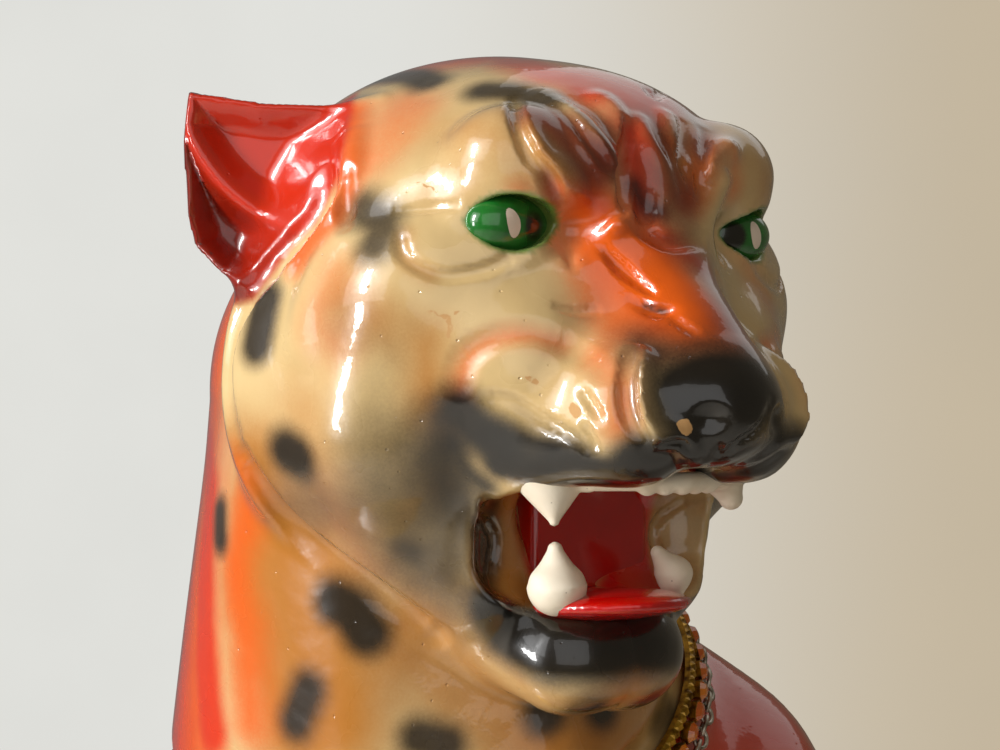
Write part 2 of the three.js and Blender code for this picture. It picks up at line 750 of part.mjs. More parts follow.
// A chain of oval links, each soldered to the next
function chainSolid() {
  const pitch = (strandAngles[1] - strandAngles[0]) / linkCount;
  const wire = 0.75;
  const middle = chainPlace.inner + wire;
  const half = (middle * pitch) / 2 + wire * 0.7;
  let chain;
  for (let i = 0; i < linkCount; i++) {
    const link = new THREE.TorusGeometry(1, 0.36, 3, 6);
    link.scale(half / 1.36, (linkWide / 2) / 1.36, wire / 0.36);
    link.rotateY(Math.PI / 2).rotateX(Math.PI / 2);
    link.translate(middle, 0, chainPlace.along);
    link.rotateZ(strandAngles[0] + (i + 0.5) * pitch);
    chain = chain ? chain.add(solidOf(link)) : solidOf(link);
  }
  return chain;
}
addPiece(collarGroup, "collar_chain", chainSolid(), materials.silver);

// End bars gather the three strands; the clasp bridges them at the nape
const outermost = chainPlace.inner + 3.4;
const barPlace = { along: 0, inner: chainPlace.inner };
const barAngle = rad(2.2);
const barThick = 4.6;
const barGap = seatGap / outermost;
for (const [word, from, to] of [
  ["right", strandAngles[0] - barGap - barAngle, strandAngles[0] - barGap],
  ["left", strandAngles[1] + barGap, strandAngles[1] + barGap + barAngle],
]) {
  const bar = bentBar(barPlace, bandWide, barThick, [from, to], 2);
  addPiece(collarGroup, `end_bar_${word}`, bar, materials.gold);
}

// Clasp at the nape: a plate with two lugs, a pin through them and a lever that folds down over the plate
const plateAngles = [
  strandAngles[1] + 2 * barGap + barAngle - 2 * Math.PI,
  strandAngles[0] - 2 * barGap - barAngle,
];
const plateWide = bandWide * 0.86;
const plateThick = 2.2;
const plateTop = barPlace.inner + plateThick;
const pinRadius = 0.8;
const leverThick = 1.6;
const leverWide = 6.4;
const lugThick = 1.6;
const pinPlace = [outermost * endAngle * 0.6, plateTop + 2.6];
const rod = (radius, long) =>
  new THREE.CylinderGeometry(radius, radius, long, 16).rotateX(Math.PI / 2).translate(...pinPlace, 0);

function claspPlate() {
  const lugLow = leverWide / 2 + seatGap;
  let plate = bentBar({ along: 0, inner: barPlace.inner }, plateWide, plateThick, plateAngles, 4);
  for (const side of [-1, 1]) {
    const ends = [side * lugLow, side * (lugLow + lugThick)].sort((a, b) => a - b);
    const low = [pinPlace[0] - 2.2, plateTop - 1.6, ends[0]];
    plate = plate.add(solidOf(boxBetween(low, [pinPlace[0] + 2.2, pinPlace[1] + 2, ends[1]])));
  }
  return plate.subtract(solidOf(rod(pinRadius + seatGap, 30)));
}

function claspLever() {
  const bottom = plateTop + 0.6;
  const reach = pinPlace[0] * 2 + 1.5;
  const armEnd = [pinPlace[0], bottom + leverThick, leverWide / 2];
  const arm = boxBetween([pinPlace[0] - reach, bottom, -leverWide / 2], armEnd);
  const tip = boxBetween([0, 0, -leverWide / 2], [leverThick, 3.4, leverWide / 2]);
  tip.rotateZ(rad(24)).translate(pinPlace[0] - reach + 0.4, bottom + 0.4, 0);
  return solidOf(arm)
    .add(solidOf(tip))
    .add(solidOf(rod(pinRadius + seatGap + 0.9, leverWide)))
    .subtract(solidOf(rod(pinRadius + seatGap, 30)));
}
addPiece(collarGroup, "clasp_plate", claspPlate(), materials.gold);
addPiece(collarGroup, "clasp_lever", claspLever(), materials.gold);
const pin = solidOf(rod(pinRadius, leverWide + 2 * (lugThick + seatGap)));
addPiece(collarGroup, "clasp_pin", pin, materials.silver);

// The origin is the middle of the footprint, on the floor
const footprint = new THREE.Box3().setFromObject(leopard).getCenter(new THREE.Vector3());
leopard.position.set(-footprint.x, -footprint.y, 0);

export default leopard;
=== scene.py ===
import json
import math
import bpy
import numpy as np
from mathutils import Matrix, Vector


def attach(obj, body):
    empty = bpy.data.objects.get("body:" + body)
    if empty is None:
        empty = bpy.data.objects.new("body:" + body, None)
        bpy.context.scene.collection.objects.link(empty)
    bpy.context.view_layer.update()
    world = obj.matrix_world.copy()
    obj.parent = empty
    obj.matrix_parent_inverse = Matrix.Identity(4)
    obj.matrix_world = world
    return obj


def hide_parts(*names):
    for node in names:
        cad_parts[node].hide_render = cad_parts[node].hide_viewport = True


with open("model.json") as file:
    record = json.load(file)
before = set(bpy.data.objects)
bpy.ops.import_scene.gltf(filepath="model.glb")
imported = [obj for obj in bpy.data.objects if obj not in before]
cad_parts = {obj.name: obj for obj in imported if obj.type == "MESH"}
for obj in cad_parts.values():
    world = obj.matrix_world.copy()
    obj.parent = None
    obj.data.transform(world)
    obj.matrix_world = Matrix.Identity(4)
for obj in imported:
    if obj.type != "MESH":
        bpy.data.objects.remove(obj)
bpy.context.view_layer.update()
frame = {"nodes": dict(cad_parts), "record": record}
mm = 0.001


# Frames: the body's, with the head's and the collar's in it, all in millimetres


def jointPlace(name):
    for joint in frame["record"]["behaviour"]["joints"]:
        if joint["name"] == name:
            return Vector(joint["pos_m"])
    raise ValueError(name)


neck = {"radius": 72, "flare": 0.24, "middle": (0, -15, 447), "lean": 34}
head = {"eyes": (76, -66, 578), "turn": 60, "eyeApart": 33}

bodyPlace = jointPlace("collar_turn") - Vector(neck["middle"]) * mm
bodyFrame = Matrix.Translation(bodyPlace) @ Matrix.Scale(mm, 4)


def turnedFrame(place, angle, axis):
    return bodyFrame @ Matrix.Translation(place) @ Matrix.Rotation(math.radians(angle), 4, axis)


headFrame = turnedFrame(head["eyes"], head["turn"], "Z")
collarFrame = turnedFrame(neck["middle"], neck["lean"], "X")

# Camera: level, 25 degrees to the leopard's left of its chest, close to the face

photo = {
    "azimuth": 25,
    "distance": 500,
    "pixel": 0.24,
    "middle": (500, 375),
    "eyesAt": (622, 225),
    "lens": 75,
    "sensor": 36,
}


# The ways back to the camera and to the picture's right, in a frame turned about the vertical
def cameraWays(turned):
    turn = math.radians(photo["azimuth"] - turned)
    return np.array([math.sin(turn), -math.cos(turn), 0]), np.array([math.cos(turn), math.sin(turn), 0])


# How far points of the picture are right of its middle and below it, in millimetres at the eyes
def pictureOffset(points):
    return ((np.array(points, float) - photo["middle"]) * photo["pixel"]).T


def makeCamera():
    back, right = (Vector(way) for way in cameraWays(0))
    across, down = pictureOffset(photo["eyesAt"])
    middle = bodyFrame @ (Vector(head["eyes"]) - right * across + Vector((0, 0, down)))
    data = bpy.data.cameras.new("photoCamera")
    data.lens = photo["lens"]
    data.sensor_width = photo["sensor"]
    data.clip_start = 0.01
    camera = bpy.data.objects.new("photoCamera", data)
    camera.matrix_world = Matrix.Translation(middle + back * photo["distance"] * mm) @ (
        back.to_track_quat("Z", "Y").to_matrix().to_4x4()
    )
    bpy.context.collection.objects.link(camera)
    bpy.context.scene.camera = camera


makeCamera()

# Form fields: the distance to a surface in millimetres, negative inside, for many points at once

farAway = 1e3


def join(a, b, fillet):
    h = np.maximum(fillet - np.abs(a - b), 0) / fillet
    return np.minimum(a, b) - h * h * fillet / 4


def rotated(tip, swing, roll=0):
    aboutX = Matrix.Rotation(math.radians(tip), 3, "X")
    aboutY = Matrix.Rotation(math.radians(roll), 3, "Y")
    aboutZ = Matrix.Rotation(math.radians(swing), 3, "Z")
    return np.array(aboutZ @ aboutY @ aboutX)


def egg(center, radii, tip=0, swing=0, roll=0):
    turned = rotated(tip, swing, roll)
    center, radii = np.array(center, float), np.array(radii, float)

    def field(p):
        local = (p - center) @ turned / radii
        near = np.sqrt((local**2).sum(1))
        slope = np.sqrt(((local / radii) ** 2).sum(1)) + 1e-9
        return near * (near - 1) / slope

    return field


def limb(start, end, startRadius, endRadius):
    start, end = np.array(start, float), np.array(end, float)
    along = end - start
    square = along @ along

    def field(p):
        t = np.clip((p - start) @ along / square, 0, 1)
        off = np.sqrt(((p - start - t[:, None] * along) ** 2).sum(1))
        return off - startRadius - (endRadius - startRadius) * t

    return field


def roundBox(center, halves, radius):
    center, halves = np.array(center, float), np.array(halves, float)

    def field(p):
        outside = np.abs(p - center) - halves + radius
        return np.sqrt((np.maximum(outside, 0) ** 2).sum(1)) + np.minimum(outside.max(1), 0) - radius

    return field


# A round stroke through points, with a radius at each; far from it only a large distance is given
def stroke(points, radii, margin=12):
    points, radii = np.array(points, float), np.array(radii, float)
    reach = radii.max() + margin
    low, high = points.min(0) - reach, points.max(0) + reach

    def field(p):
        d = np.full(len(p), farAway)
        near = ((p > low) & (p < high)).all(1)
        q = p[near]
        best = np.full(len(q), farAway)
        for i in range(len(points) - 1):
            piece = limb(points[i], points[i + 1], radii[i], radii[i + 1])
            best = np.minimum(best, piece(q))
        d[near] = best
        return d

    return field


# Brings points to one side by mirroring the others: side is 1 for the left and -1 for the right
def mirrored(p, side):
    return np.abs(p) * (side, 0, 0) + p * (0, 1, 1)


# Puts a form of the left side, or one of the right side, on both sides
def pair(form, side=1):
    return lambda p: form(mirrored(p, side))


def joined(parts):
    def field(p):
        d = np.full(len(p), farAway)
        for form, fillet in parts:
            d = join(d, form(p), fillet)
        return d

    return field


def carved(base, cuts):
    def field(p):
        d = base(p)
        for form, edge in cuts:
            d = -join(-d, form(p), edge)
        return d

    return field


def ease(value, low, high):
    t = np.clip((value - low) / (high - low), 0, 1)
    return t * t * (3 - 2 * t)


def gradient(field, p, step=0.3):
    corners = np.array([[1, 1, 1], [1, -1, -1], [-1, 1, -1], [-1, -1, 1]], float)
    total = sum(field(p + step * corner)[:, None] * corner for corner in corners)
    return total / (4 * step)


# Moves points onto a field's surface
def snapped(field, p, rounds=4):
    p = np.array(p, float)
    for _ in range(rounds):
        slope = gradient(field, p)
        p = p - field(p)[:, None] * slope / np.maximum((slope**2).sum(1), 0.04)[:, None]
    return p


# A curve through a few points, with more points between them
def smoothed(points, count):
    points = np.array(points, float)
    line = np.concatenate([[2 * points[0] - points[1]], points, [2 * points[-1] - points[-2]]])
    result = []
    for i in range(1, len(line) - 2):
        a, b, c, d = line[i - 1 : i + 3]
        square = 2 * a - 5 * b + 4 * c - d
        cube = 3 * b - a - 3 * c + d
        for t in np.arange(count) / count:
            result.append(0.5 * (2 * b + (c - a) * t + square * t * t + cube * t**3))
    return np.array(result + [points[-1]])


# How a ray goes from the camera to the head, from before the eyes to behind them
march = {"steps": 45, "before": 130.0, "behind": 160, "back": -4, "ahead": 20, "share": 0.8}


# Where the photo camera sees points of its picture on a form, in the head's frame
def seenOn(field, points):
    back, right = cameraWays(head["turn"])
    up = np.array([0, 0, 1])
    x, y = pictureOffset(points)
    acrossEyes, downEyes = pictureOffset(photo["eyesAt"])
    lens = back * photo["distance"] - right * acrossEyes + up * downEyes
    ray = x[:, None] * right - y[:, None] * up - back * photo["distance"]
    ray /= np.linalg.norm(ray, axis=1)[:, None]
    reach = np.full(len(x), photo["distance"] - march["before"])
    for _ in range(march["steps"]):
        step = np.clip(field(lens + reach[:, None] * ray), march["back"], march["ahead"])
        reach = np.minimum(reach + step * march["share"], photo["distance"] + march["behind"])
    return lens + reach[:, None] * ray


# The same lines with each point of the picture changed to the point of the form seen there
def placedLines(field, lines):
    flat = [point for line in lines for point in line[0] if len(point) == 2]
    seen = iter(seenOn(field, flat))
    return [([next(seen) if len(point) == 2 else point for point in line[0]], *line[1:]) for line in lines]


# A stroke along the skin: sunk into it for a fold, or lifted off it for a crease; its ends run out
def skinStroke(field, points, wide, high, lifted, count=4, tip=0.12, largest=13):
    path = snapped(field, smoothed(points, count))
    slope = gradient(field, path)
    slope /= np.linalg.norm(slope, axis=1)[:, None]
    wides = np.interp(np.linspace(0, 1, len(path)), np.linspace(0, 1, np.size(wide)), np.atleast_1d(wide))
    highs = high * np.sin(np.linspace(tip, math.pi - tip, len(path))) ** 0.5
    radii = np.minimum((wides**2 / 4 + highs**2) / (2 * highs), largest)
    shift = (radii - highs)[:, None] * slope
    return stroke(path + shift if lifted else path - shift, radii)


def fold(field, points, wide, high):
    return skinStroke(field, points, wide, high, False)


def crease(field, points, wide, deep):
    return skinStroke(field, points, wide, deep, True)


# The whole-numbered places of a grid with so many along each axis
def gridPlaces(counts):
    return np.stack(np.meshgrid(*[np.arange(count) for count in counts], indexing="ij"), -1).reshape(-1, 3)


# Turns a field into a skin of four-cornered faces, looking closely only in the blocks near the surface
def fieldSkin(field, low, high, spacing, block=4, near=1.3, batch=3000):
    low = np.array(low, float)
    blocks = np.ceil((np.array(high) - low) / (spacing * block)).astype(int)
    index = gridPlaces(blocks)
    rough = field(low + (index * block + (block - 1) / 2) * spacing)
    values = rough.reshape(blocks).astype(np.float32)
    for axis in range(3):
        values = np.repeat(values, block, axis)
    kept = index[np.abs(rough) < spacing * block * near]
    inner = gridPlaces([block] * 3)
    for start in range(0, len(kept), batch):
        cells = (kept[start : start + batch, None, :] * block + inner[None]).reshape(-1, 3)
        values[cells[:, 0], cells[:, 1], cells[:, 2]] = field(low + cells * spacing)
    values[values == 0] = 1e-6
    return netOf(values, low, spacing, blocks * block)


# One point in each cell that the surface crosses, joined across the crossed edges
def netOf(values, low, spacing, size):
    inside = values < 0
    cellSize = size - 1
    total = np.zeros((int(np.prod(cellSize)), 3))
    count = np.zeros(int(np.prod(cellSize)))
    crossings = []
    for axis in range(3):
        u, v = (axis + 1) % 3, (axis + 2) % 3
        first = [slice(None)] * 3
        second = [slice(None)] * 3
        first[axis] = slice(0, -1)
        second[axis] = slice(1, None)
        a, b = values[tuple(first)], values[tuple(second)]
        at = np.argwhere(inside[tuple(first)] != inside[tuple(second)])
        at = at[(at[:, u] > 0) & (at[:, v] > 0) & (at[:, u] < cellSize[u]) & (at[:, v] < cellSize[v])]
        va, vb = a[tuple(at.T)], b[tuple(at.T)]
        point = at.astype(float)
        point[:, axis] += va / (va - vb)
        cells = []
        for du, dv in ((1, 1), (0, 1), (0, 0), (1, 0)):
            cell = at.copy()
            cell[:, u] -= du
            cell[:, v] -= dv
            flat = (cell[:, 0] * cellSize[1] + cell[:, 1]) * cellSize[2] + cell[:, 2]
            np.add.at(total, flat, point)
            np.add.at(count, flat, 1)
            cells.append(flat)
        ring = np.stack(cells, 1)
        outward = va > 0
        ring[outward] = ring[outward][:, ::-1]
        crossings.append(ring)
    rings = np.concatenate(crossings)
    used = np.flatnonzero(count)
    number = np.full(len(count), -1)
    number[used] = np.arange(len(used))
    points = low + total[used] / count[used, None] * spacing
    return points, number[rings]


def meshObject(name, points, faces, place):
    mesh = bpy.data.meshes.new(name)
    points = np.array(points, float)
    placed = points @ np.array(place.to_3x3()).T + np.array(place.translation)
    mesh.vertices.add(len(placed))
    mesh.vertices.foreach_set("co", placed.astype(np.float32).ravel())
    faces = np.array(faces)
    mesh.loops.add(faces.size)
    mesh.loops.foreach_set("vertex_index", faces.ravel().astype(np.int32))
    mesh.polygons.add(len(faces))
    mesh.polygons.foreach_set("loop_start", np.arange(0, faces.size, faces.shape[1], dtype=np.int32))
    mesh.update()
    mesh.validate()
    mesh.polygons.foreach_set("use_smooth", np.ones(len(faces), bool))
    obj = bpy.data.objects.new(name, mesh)
    bpy.context.collection.objects.link(obj)
    return obj


def addMask(obj, name, values):
    layer = obj.data.attributes.new(name, "FLOAT", "POINT")
    layer.data.foreach_set("value", np.asarray(values, np.float32))


# Splits one skin into pieces by a number on each point, and keeps the whole skin's shading
def splitSkin(points, faces, owner, names, place, field, masks):
    normals = gradient(field, points)
    normals /= np.linalg.norm(normals, axis=1)[:, None]
    turned = normals @ np.array(place.to_3x3().normalized()).T
    pieces = {}
    faceOwner = owner[faces[:, 0]]
    for number, name in enumerate(names):
        own = faces[faceOwner == number]
        used, back = np.unique(own, return_inverse=True)
        obj = meshObject(name, points[used], back.reshape(own.shape), place)
        obj.data.normals_split_custom_set_from_vertices(turned[used].tolist())
        for maskName, values in masks.items():
            addMask(obj, maskName, values[used])
        pieces[name] = obj
    return pieces


def neckPlace(p):
    lean = math.radians(neck["lean"])
    d = p - np.array(neck["middle"])
    along = d[:, 2] * math.cos(lean) - d[:, 1] * math.sin(lean)
    out = np.hypot(d[:, 0], d[:, 1] * math.cos(lean) + d[:, 2] * math.sin(lean))
    cone = (out - neck["radius"] + neck["flare"] * along) * math.cos(math.atan(neck["flare"]))
    return along, cone


headTurned = rotated(0, head["turn"])


def bodyPoints(p):
    return p @ headTurned.T + np.array(head["eyes"])


collarInHead = (np.array(neck["middle"], float) - np.array(head["eyes"])) @ headTurned

# Head: skull, muzzle, cheeks and jaw first, then the folds and creases on them

faceForm = joined([
    (egg([0, 52, 0], [62, 62, 46]), 1),  # skull
    (egg([0, 16, 4], [44, 30, 30]), 16),  # forehead
    (pair(egg([26, -2, 13], [18, 12, 9], 0, 14)), 8),  # brows
    (limb([0, 6, -6], [0, -27, -38], 19, 16), 14),  # bridge of the nose
    (pair(egg([45, 26, -18], [22, 26, 20])), 14),  # cheekbones
    (pair(egg([44, 34, -46], [25, 26, 28])), 16),  # cheeks
    (pair(egg([27, 10, -34], [23, 28, 24])), 14),  # sides of the muzzle
    (pair(egg([16, -20, -45], [17, 19, 18])), 6),  # whisker pads
    (pair(egg([25, 4, -49], [14, 25, 17])), 8),  # upper lips
    (egg([0, -32, -43], [18, 15.5, 14]), 4),  # nose
    (pair(egg([49, 57, -38], [26, 24, 42])), 12),  # jaw muscles
    (pair(egg([28, 46, -76], [24, 26, 26])), 14),  # sides of the throat
    (pair(limb([22, 44, -88], [9, 12, -104], 20, 13)), 10),  # lower jaw
    (pair(egg([29, 17, -77], [8, 14, 18])), 12),  # mouth corners
    (egg([0, 8, -104], [20, 13, 12]), 10),  # chin
])
mouthSpace = roundBox([0, -14, -76], [35, 32, 13.5], 10)


# An almond with a sharp corner at each end, which the eyes look out of
def almond(middle, halfWide, halfHigh):
    radius = (halfWide**2 + halfHigh**2) / (2 * halfHigh)
    rise = np.array([0, 0, radius - halfHigh])
    middle = np.array(middle, float)
    upper = egg(middle + rise, [radius] * 3)
    lower = egg(middle - rise, [radius] * 3)
    return lambda p: np.maximum(upper(p), lower(p))


eyeSpace = pair(almond([35.4, -5, -1], 10.4, 6.4))
openMouth = carved(faceForm, [(mouthSpace, 4), (eyeSpace, 1)])

# The crease behind the right cheek, in the head's frame, because the picture hardly shows it
cheekBack = [(-60, 40, 12), (-63, 38, 4), (-67, 43, -2), (-72, 53, -12), (-77, 62, -25), (-78, 63, -38)]

# Folds stand up from the skin and creases go into it, each as points, width and height. A point is
# a place in the photo's picture or in the head's frame
foldsOfBothSides = [
    ([(452, 213), (478, 197), (507, 189), (537, 198), (556, 222)], 6, 1.6),
    ([(457, 219), (478, 243), (505, 256), (533, 247), (552, 226)], 5, 0.9),
    ([(422, 236), (445, 248), (478, 256)], 14, 1),
    ([(385, 190), (420, 178), (470, 172), (520, 180)], 15, 1.4),
    ([(640, 358), (634, 385), (638, 415), (653, 434), (680, 440), (693, 460)], 4.6, 2.6),
    ([(332, 236), (316, 270), (304, 310), (300, 350)], 9, 1.5),
    ([(352, 118), (350, 160), (338, 205), (312, 240), (284, 268)], 7, 2),
]
creasesOfBothSides = [
    ([(398, 212), (425, 208), (455, 206)], 1.8, 0.8),
    ([(399, 234), (405, 258), (441, 275), (483, 270), (516, 256)], 3.2, 1.2),
    ([(346, 165), (343, 200), (344, 232)], 5, 1.4),
    ([(456, 392), (467, 357), (496, 338), (535, 333), (573, 350), (612, 380)], 6, 1),
    ([(489, 397), (514, 402), (542, 419), (573, 437), (590, 452)], 3.2, 1.3),
    ([(581, 392), (590, 404), (600, 419)], 2.6, 1.4),
    ([(585, 428), (591, 438), (598, 449)], 2.4, 1.2),
    ([(632, 350), (625, 375), (624, 400), (631, 424), (646, 442)], 5, 3.4),
    (cheekBack + [(-77, 58, -54)], 10, 3.4),
    ([(-77, 58, -54), (-71, 53, -66), (-60, 48, -78), (-46, 34, -91), (-34, 26, -102)], 10, 3.4),
    ([(488, 500), (494, 535), (491, 585)], 3, 1.6),
]
frownFolds = [
    ([(519, 116), (527, 137), (541, 160), (558, 176), (570, 193), (575, 220)], (4, 6, 9, 9), 3.4),
    ([(545, 98), (570, 116), (592, 140), (608, 168), (612, 196)], (5, 9, 9, 6), 2.6),
    ([(598, 96), (616, 116), (622, 140)], 6, 2),
    ([(640, 122), (648, 146), (660, 170), (668, 192)], (4, 6, 7), 2.6),
    ([(668, 118), (672, 146), (680, 170), (690, 192)], (4, 6, 6), 2.2),
    ([(722, 124), (727, 150), (718, 180), (708, 216)], (5, 7, 6), 2.8),
    ([(592, 232), (618, 222), (634, 214)], 5, 1.6),
]
frownCreases = [
    ([(514, 100), (518, 128), (530, 158), (547, 178), (557, 200), (562, 226)], (2.5, 4, 5, 4), 2.4),
    ([(560, 106), (583, 133), (604, 162), (615, 172)], 2.2, 1.2),
    ([(586, 130), (600, 146), (612, 170)], 1.6, 0.8),
    ([(628, 118), (627, 145), (624, 170), (625, 190), (628, 212)], (2, 4, 4, 3), 2.6),
    ([(684, 122), (683, 155), (691, 184)], 2.8, 1.6),
    ([(704, 130), (704, 160), (698, 190)], 2.6, 1.2),
    ([(552, 230), (575, 229), (598, 222), (613, 213), (628, 214)], 2.4, 1.3),
    ([(634, 218), (650, 234), (672, 243), (700, 240)], 4, 1.8),
    ([(569, 234), (570, 248), (573, 264)], 2.2, 1.2),
    ([(603, 248), (622, 268), (652, 293)], (2, 3.4, 1.6), 1.6),
    ([(559, 307), (576, 311), (594, 312)], 1.6, 0.7),
    ([(636, 303), (654, 311), (672, 311)], 3, 1.5),
    ([(672, 318), (684, 326), (696, 334)], 2, 0.8),
    ([(648, 88), (655, 96), (664, 92)], 3, 1),
    ([(772, 404), (759, 429), (738, 444), (726, 455)], 2.8, 1.3),
    ([(660, 446), (680, 444), (690, 452)], 2.4, 1.2),
    ([(718, 446), (719, 458)], 2, 0.8),
]


def detailedFace():
    raised = [(pair(fold(faceForm, *line), -1), 3) for line in placedLines(faceForm, foldsOfBothSides)]
    raised += [(fold(faceForm, *line), 2.5) for line in placedLines(faceForm, frownFolds)]
    field = joined([(openMouth, 1)] + raised)
    cuts = [(pair(crease(field, *line), -1), 1.2) for line in placedLines(field, creasesOfBothSides)]
    cuts += [(crease(field, *line), 1.2) for line in placedLines(field, frownCreases)]
    cuts.append((egg(seenOn(field, [(646, 204)])[0], [3, 2.4, 4.6]), 2.5))
    cuts.append((pair(egg([11, -46.4, -46], [4, 4.6, 3.2])), 2.5))
    cuts.append((pair(egg([24, -14, -2.5], [6, 7, 5])), 5))
    return carved(field, cuts + [(eyeSpace, 1)])


# Ear: a flat-topped cup that faces the photo camera, with a bent ridge between its two hollows
ear = {
    "middle": (-56, 56.5, 9),
    "outline": [
        (-9, 23),
        (-28.5, 26),
        (-30, 12),
        (-29, -6),
        (-27, -14),
        (-20, -21.5),
        (-9, -26),
        (20, -24),
        (20, 22),
    ],
    "glazed": [(-34, 34), (13, 34), (13, 19), (10.5, 3), (4.5, -8), (-2, -14), (-11, -26), (-34, -30)],
    "reach": 30,
    "front": 6,
    "back": -12,
    "taper": 14,
    "taperWide": 12,
    "rimWide": 1.4,
    "edge": 2.4,
    "backEdge": 4,
    "ridge": {"normal": (0.668, 0.744), "offset": 6.2, "bow": 5.5, "middle": -12.5, "half": 20.4},
    "upper": {"depth": 6, "slope": (0, 9)},
    "lower": {"depth": 8, "slope": (-0.5, 7)},
}


def earFrame(p):
    back, right = cameraWays(head["turn"])
    local = p - np.array(ear["middle"])
    return np.stack([local @ right, local[:, 2], local @ back], 1)


# Above zero over the ear's ridge and below zero under it
def ridgeSide(u, v):
    ridge = ear["ridge"]
    a, b = ridge["normal"]
    along = (u * b - v * a - ridge["middle"]) / ridge["half"]
    return u * a + v * b + ridge["offset"] + ridge["bow"] * (1 - along**2)


# The distance to a closed outline in a plane
def outlineDistance(u, v, outline):
    nearest = np.full(len(u), farAway)
    inside = np.zeros(len(u), bool)
    for (x1, y1), (x2, y2) in zip(outline, outline[1:] + outline[:1]):
        dx, dy = x2 - x1, y2 - y1
        t = np.clip(((u - x1) * dx + (v - y1) * dy) / (dx**2 + dy**2), 0, 1)
        nearest = np.minimum(nearest, np.hypot(u - x1 - t * dx, v - y1 - t * dy))
        inside ^= ((y1 > v) != (y2 > v)) & (u < x1 + (v - y1) / (dy + 1e-9) * dx)
    return np.where(inside, -nearest, nearest)


def rightEar(p):
    d = np.linalg.norm(p - np.array(ear["middle"]), axis=1) - ear["reach"]
    near = d < ear["reach"]
    d[near] = earShell(p[near])
    return d


# Both hollows go down from a rim, and the shell gets thinner towards its outline
def earShell(p):
    u, v, w = earFrame(p).T
    rim = outlineDistance(u, v, ear["outline"])
    side = ridgeSide(u, v)
    fromRim = -rim - ear["rimWide"]
    upper = ear["upper"]["depth"] * ease(np.minimum(fromRim, side), *ear["upper"]["slope"])
    lower = ear["lower"]["depth"] * ease(np.minimum(fromRim, -side), *ear["lower"]["slope"])
    front = (w - ear["front"] + np.where(side > 0, upper, lower)) * 0.5
    back = (ear["back"] + ear["taper"] * (1 - ease(-rim, 0, ear["taperWide"])) - w) * 0.6
    return -join(join(-rim, -front, ear["edge"]), -back, ear["backEdge"])


earForm = pair(rightEar, -1)
nape = limb(collarInHead, [-2, 84, -40], neck["radius"] - 3, 58)
faceField = detailedFace()


# Two long muscles under the jaw, as bulges at an angle round the neck
muscles = {"angles": (-78, -34), "high": 2.6, "halfWide": 11}


def neckMuscles(p):
    d = bodyPoints(p) - np.array(neck["middle"])
    angle = np.degrees(np.arctan2(d[:, 1], d[:, 0]))
    reach = [(angle - way) / muscles["halfWide"] for way in muscles["angles"]]
    return sum(muscles["high"] * np.exp(-(off**2)) for off in reach)


# The neck's own skin goes over into the plain cone that the collar lies on
throat = {"flare": 0.25, "fillet": 20, "faceFillet": 3, "earFillet": 5, "plainBelow": (9, 20), "end": 0.15}


def headCore(p):
    along, cone = neckPlace(bodyPoints(p))
    flared = cone + np.maximum(along, 0) * throat["flare"]
    neckForm = join(nape(p), flared, throat["fillet"]) - neckMuscles(p)
    face = join(faceField(p), neckForm, throat["faceFillet"])
    whole = join(face, earForm(p), throat["earFillet"])
    return cone + (whole - cone) * ease(along, *throat["plainBelow"])


def headSkinField(p):
    along, _ = neckPlace(bodyPoints(p))
    return np.maximum(headCore(p), throat["end"] - along)


# Materials: each mask is a number on the skin's points, and its edge gets the speckle of sprayed glaze


def color(red, green, blue):
    return tuple((value / 255) ** 2.2 for value in (red, green, blue)) + (1,)


def darker(paint, share):
    return tuple(value * share for value in paint[:3]) + (1,)


# Sets a node's inputs: each is a value, or another node's output to link
def setInputs(tree, node, inputs):
    for name, value in inputs.items():
        if isinstance(value, bpy.types.NodeSocket):
            tree.links.new(value, node.inputs[name])
        else:
            node.inputs[name].default_value = value


def addNode(tree, kind, inputs=None, **settings):
    made = tree.nodes.new(kind)
    for name, value in settings.items():
        setattr(made, name, value)
    setInputs(tree, made, inputs or {})
    return made


def objectPlace(tree):
    return addNode(tree, "ShaderNodeTexCoord").outputs["Object"]


# Noise with so many blotches to the metre
def noise(tree, place, scale, detail, distortion=0):
    inputs = {"Vector": place, "Scale": scale, "Detail": detail, "Distortion": distortion}
    return addNode(tree, "ShaderNodeTexNoise", inputs).outputs["Fac"]


def cells(tree, place, scale, output="Distance"):
    return addNode(tree, "ShaderNodeTexVoronoi", {"Vector": place, "Scale": scale}).outputs[output]


def blend(tree, share, under, over):
    return addNode(tree, "ShaderNodeMix", {0: share, 6: under, 7: over}, data_type="RGBA").outputs[2]


def calculated(tree, operation, *values):
    return addNode(tree, "ShaderNodeMath", dict(enumerate(values)), operation=operation).outputs[0]


# Turns values from start to end into values from low to high
def ramp(tree, value, start, end, low=0, high=1, curve="LINEAR"):
    inputs = dict(enumerate((value, start, end, low, high)))
    return addNode(tree, "ShaderNodeMapRange", inputs, interpolation_type=curve).outputs[0]


def bump(tree, height, strength, distance):
    inputs = {"Height": height, "Strength": strength, "Distance": distance}
    return addNode(tree, "ShaderNodeBump", inputs).outputs["Normal"]


def newGroup(name, inputs, output, kind):
    group = bpy.data.node_groups.new(name, "ShaderNodeTree")
    for socketName, socketKind in inputs:
        group.interface.new_socket(socketName, in_out="INPUT", socket_type=socketKind)
    group.interface.new_socket(output, in_out="OUTPUT", socket_type=kind)
    given, result = group.nodes.new("NodeGroupInput"), group.nodes.new("NodeGroupOutput")
    return group, given.outputs, result.inputs[output]


spray = {"broad": (70, 3, 0.5), "grain": (1500, 2, 0.2)}


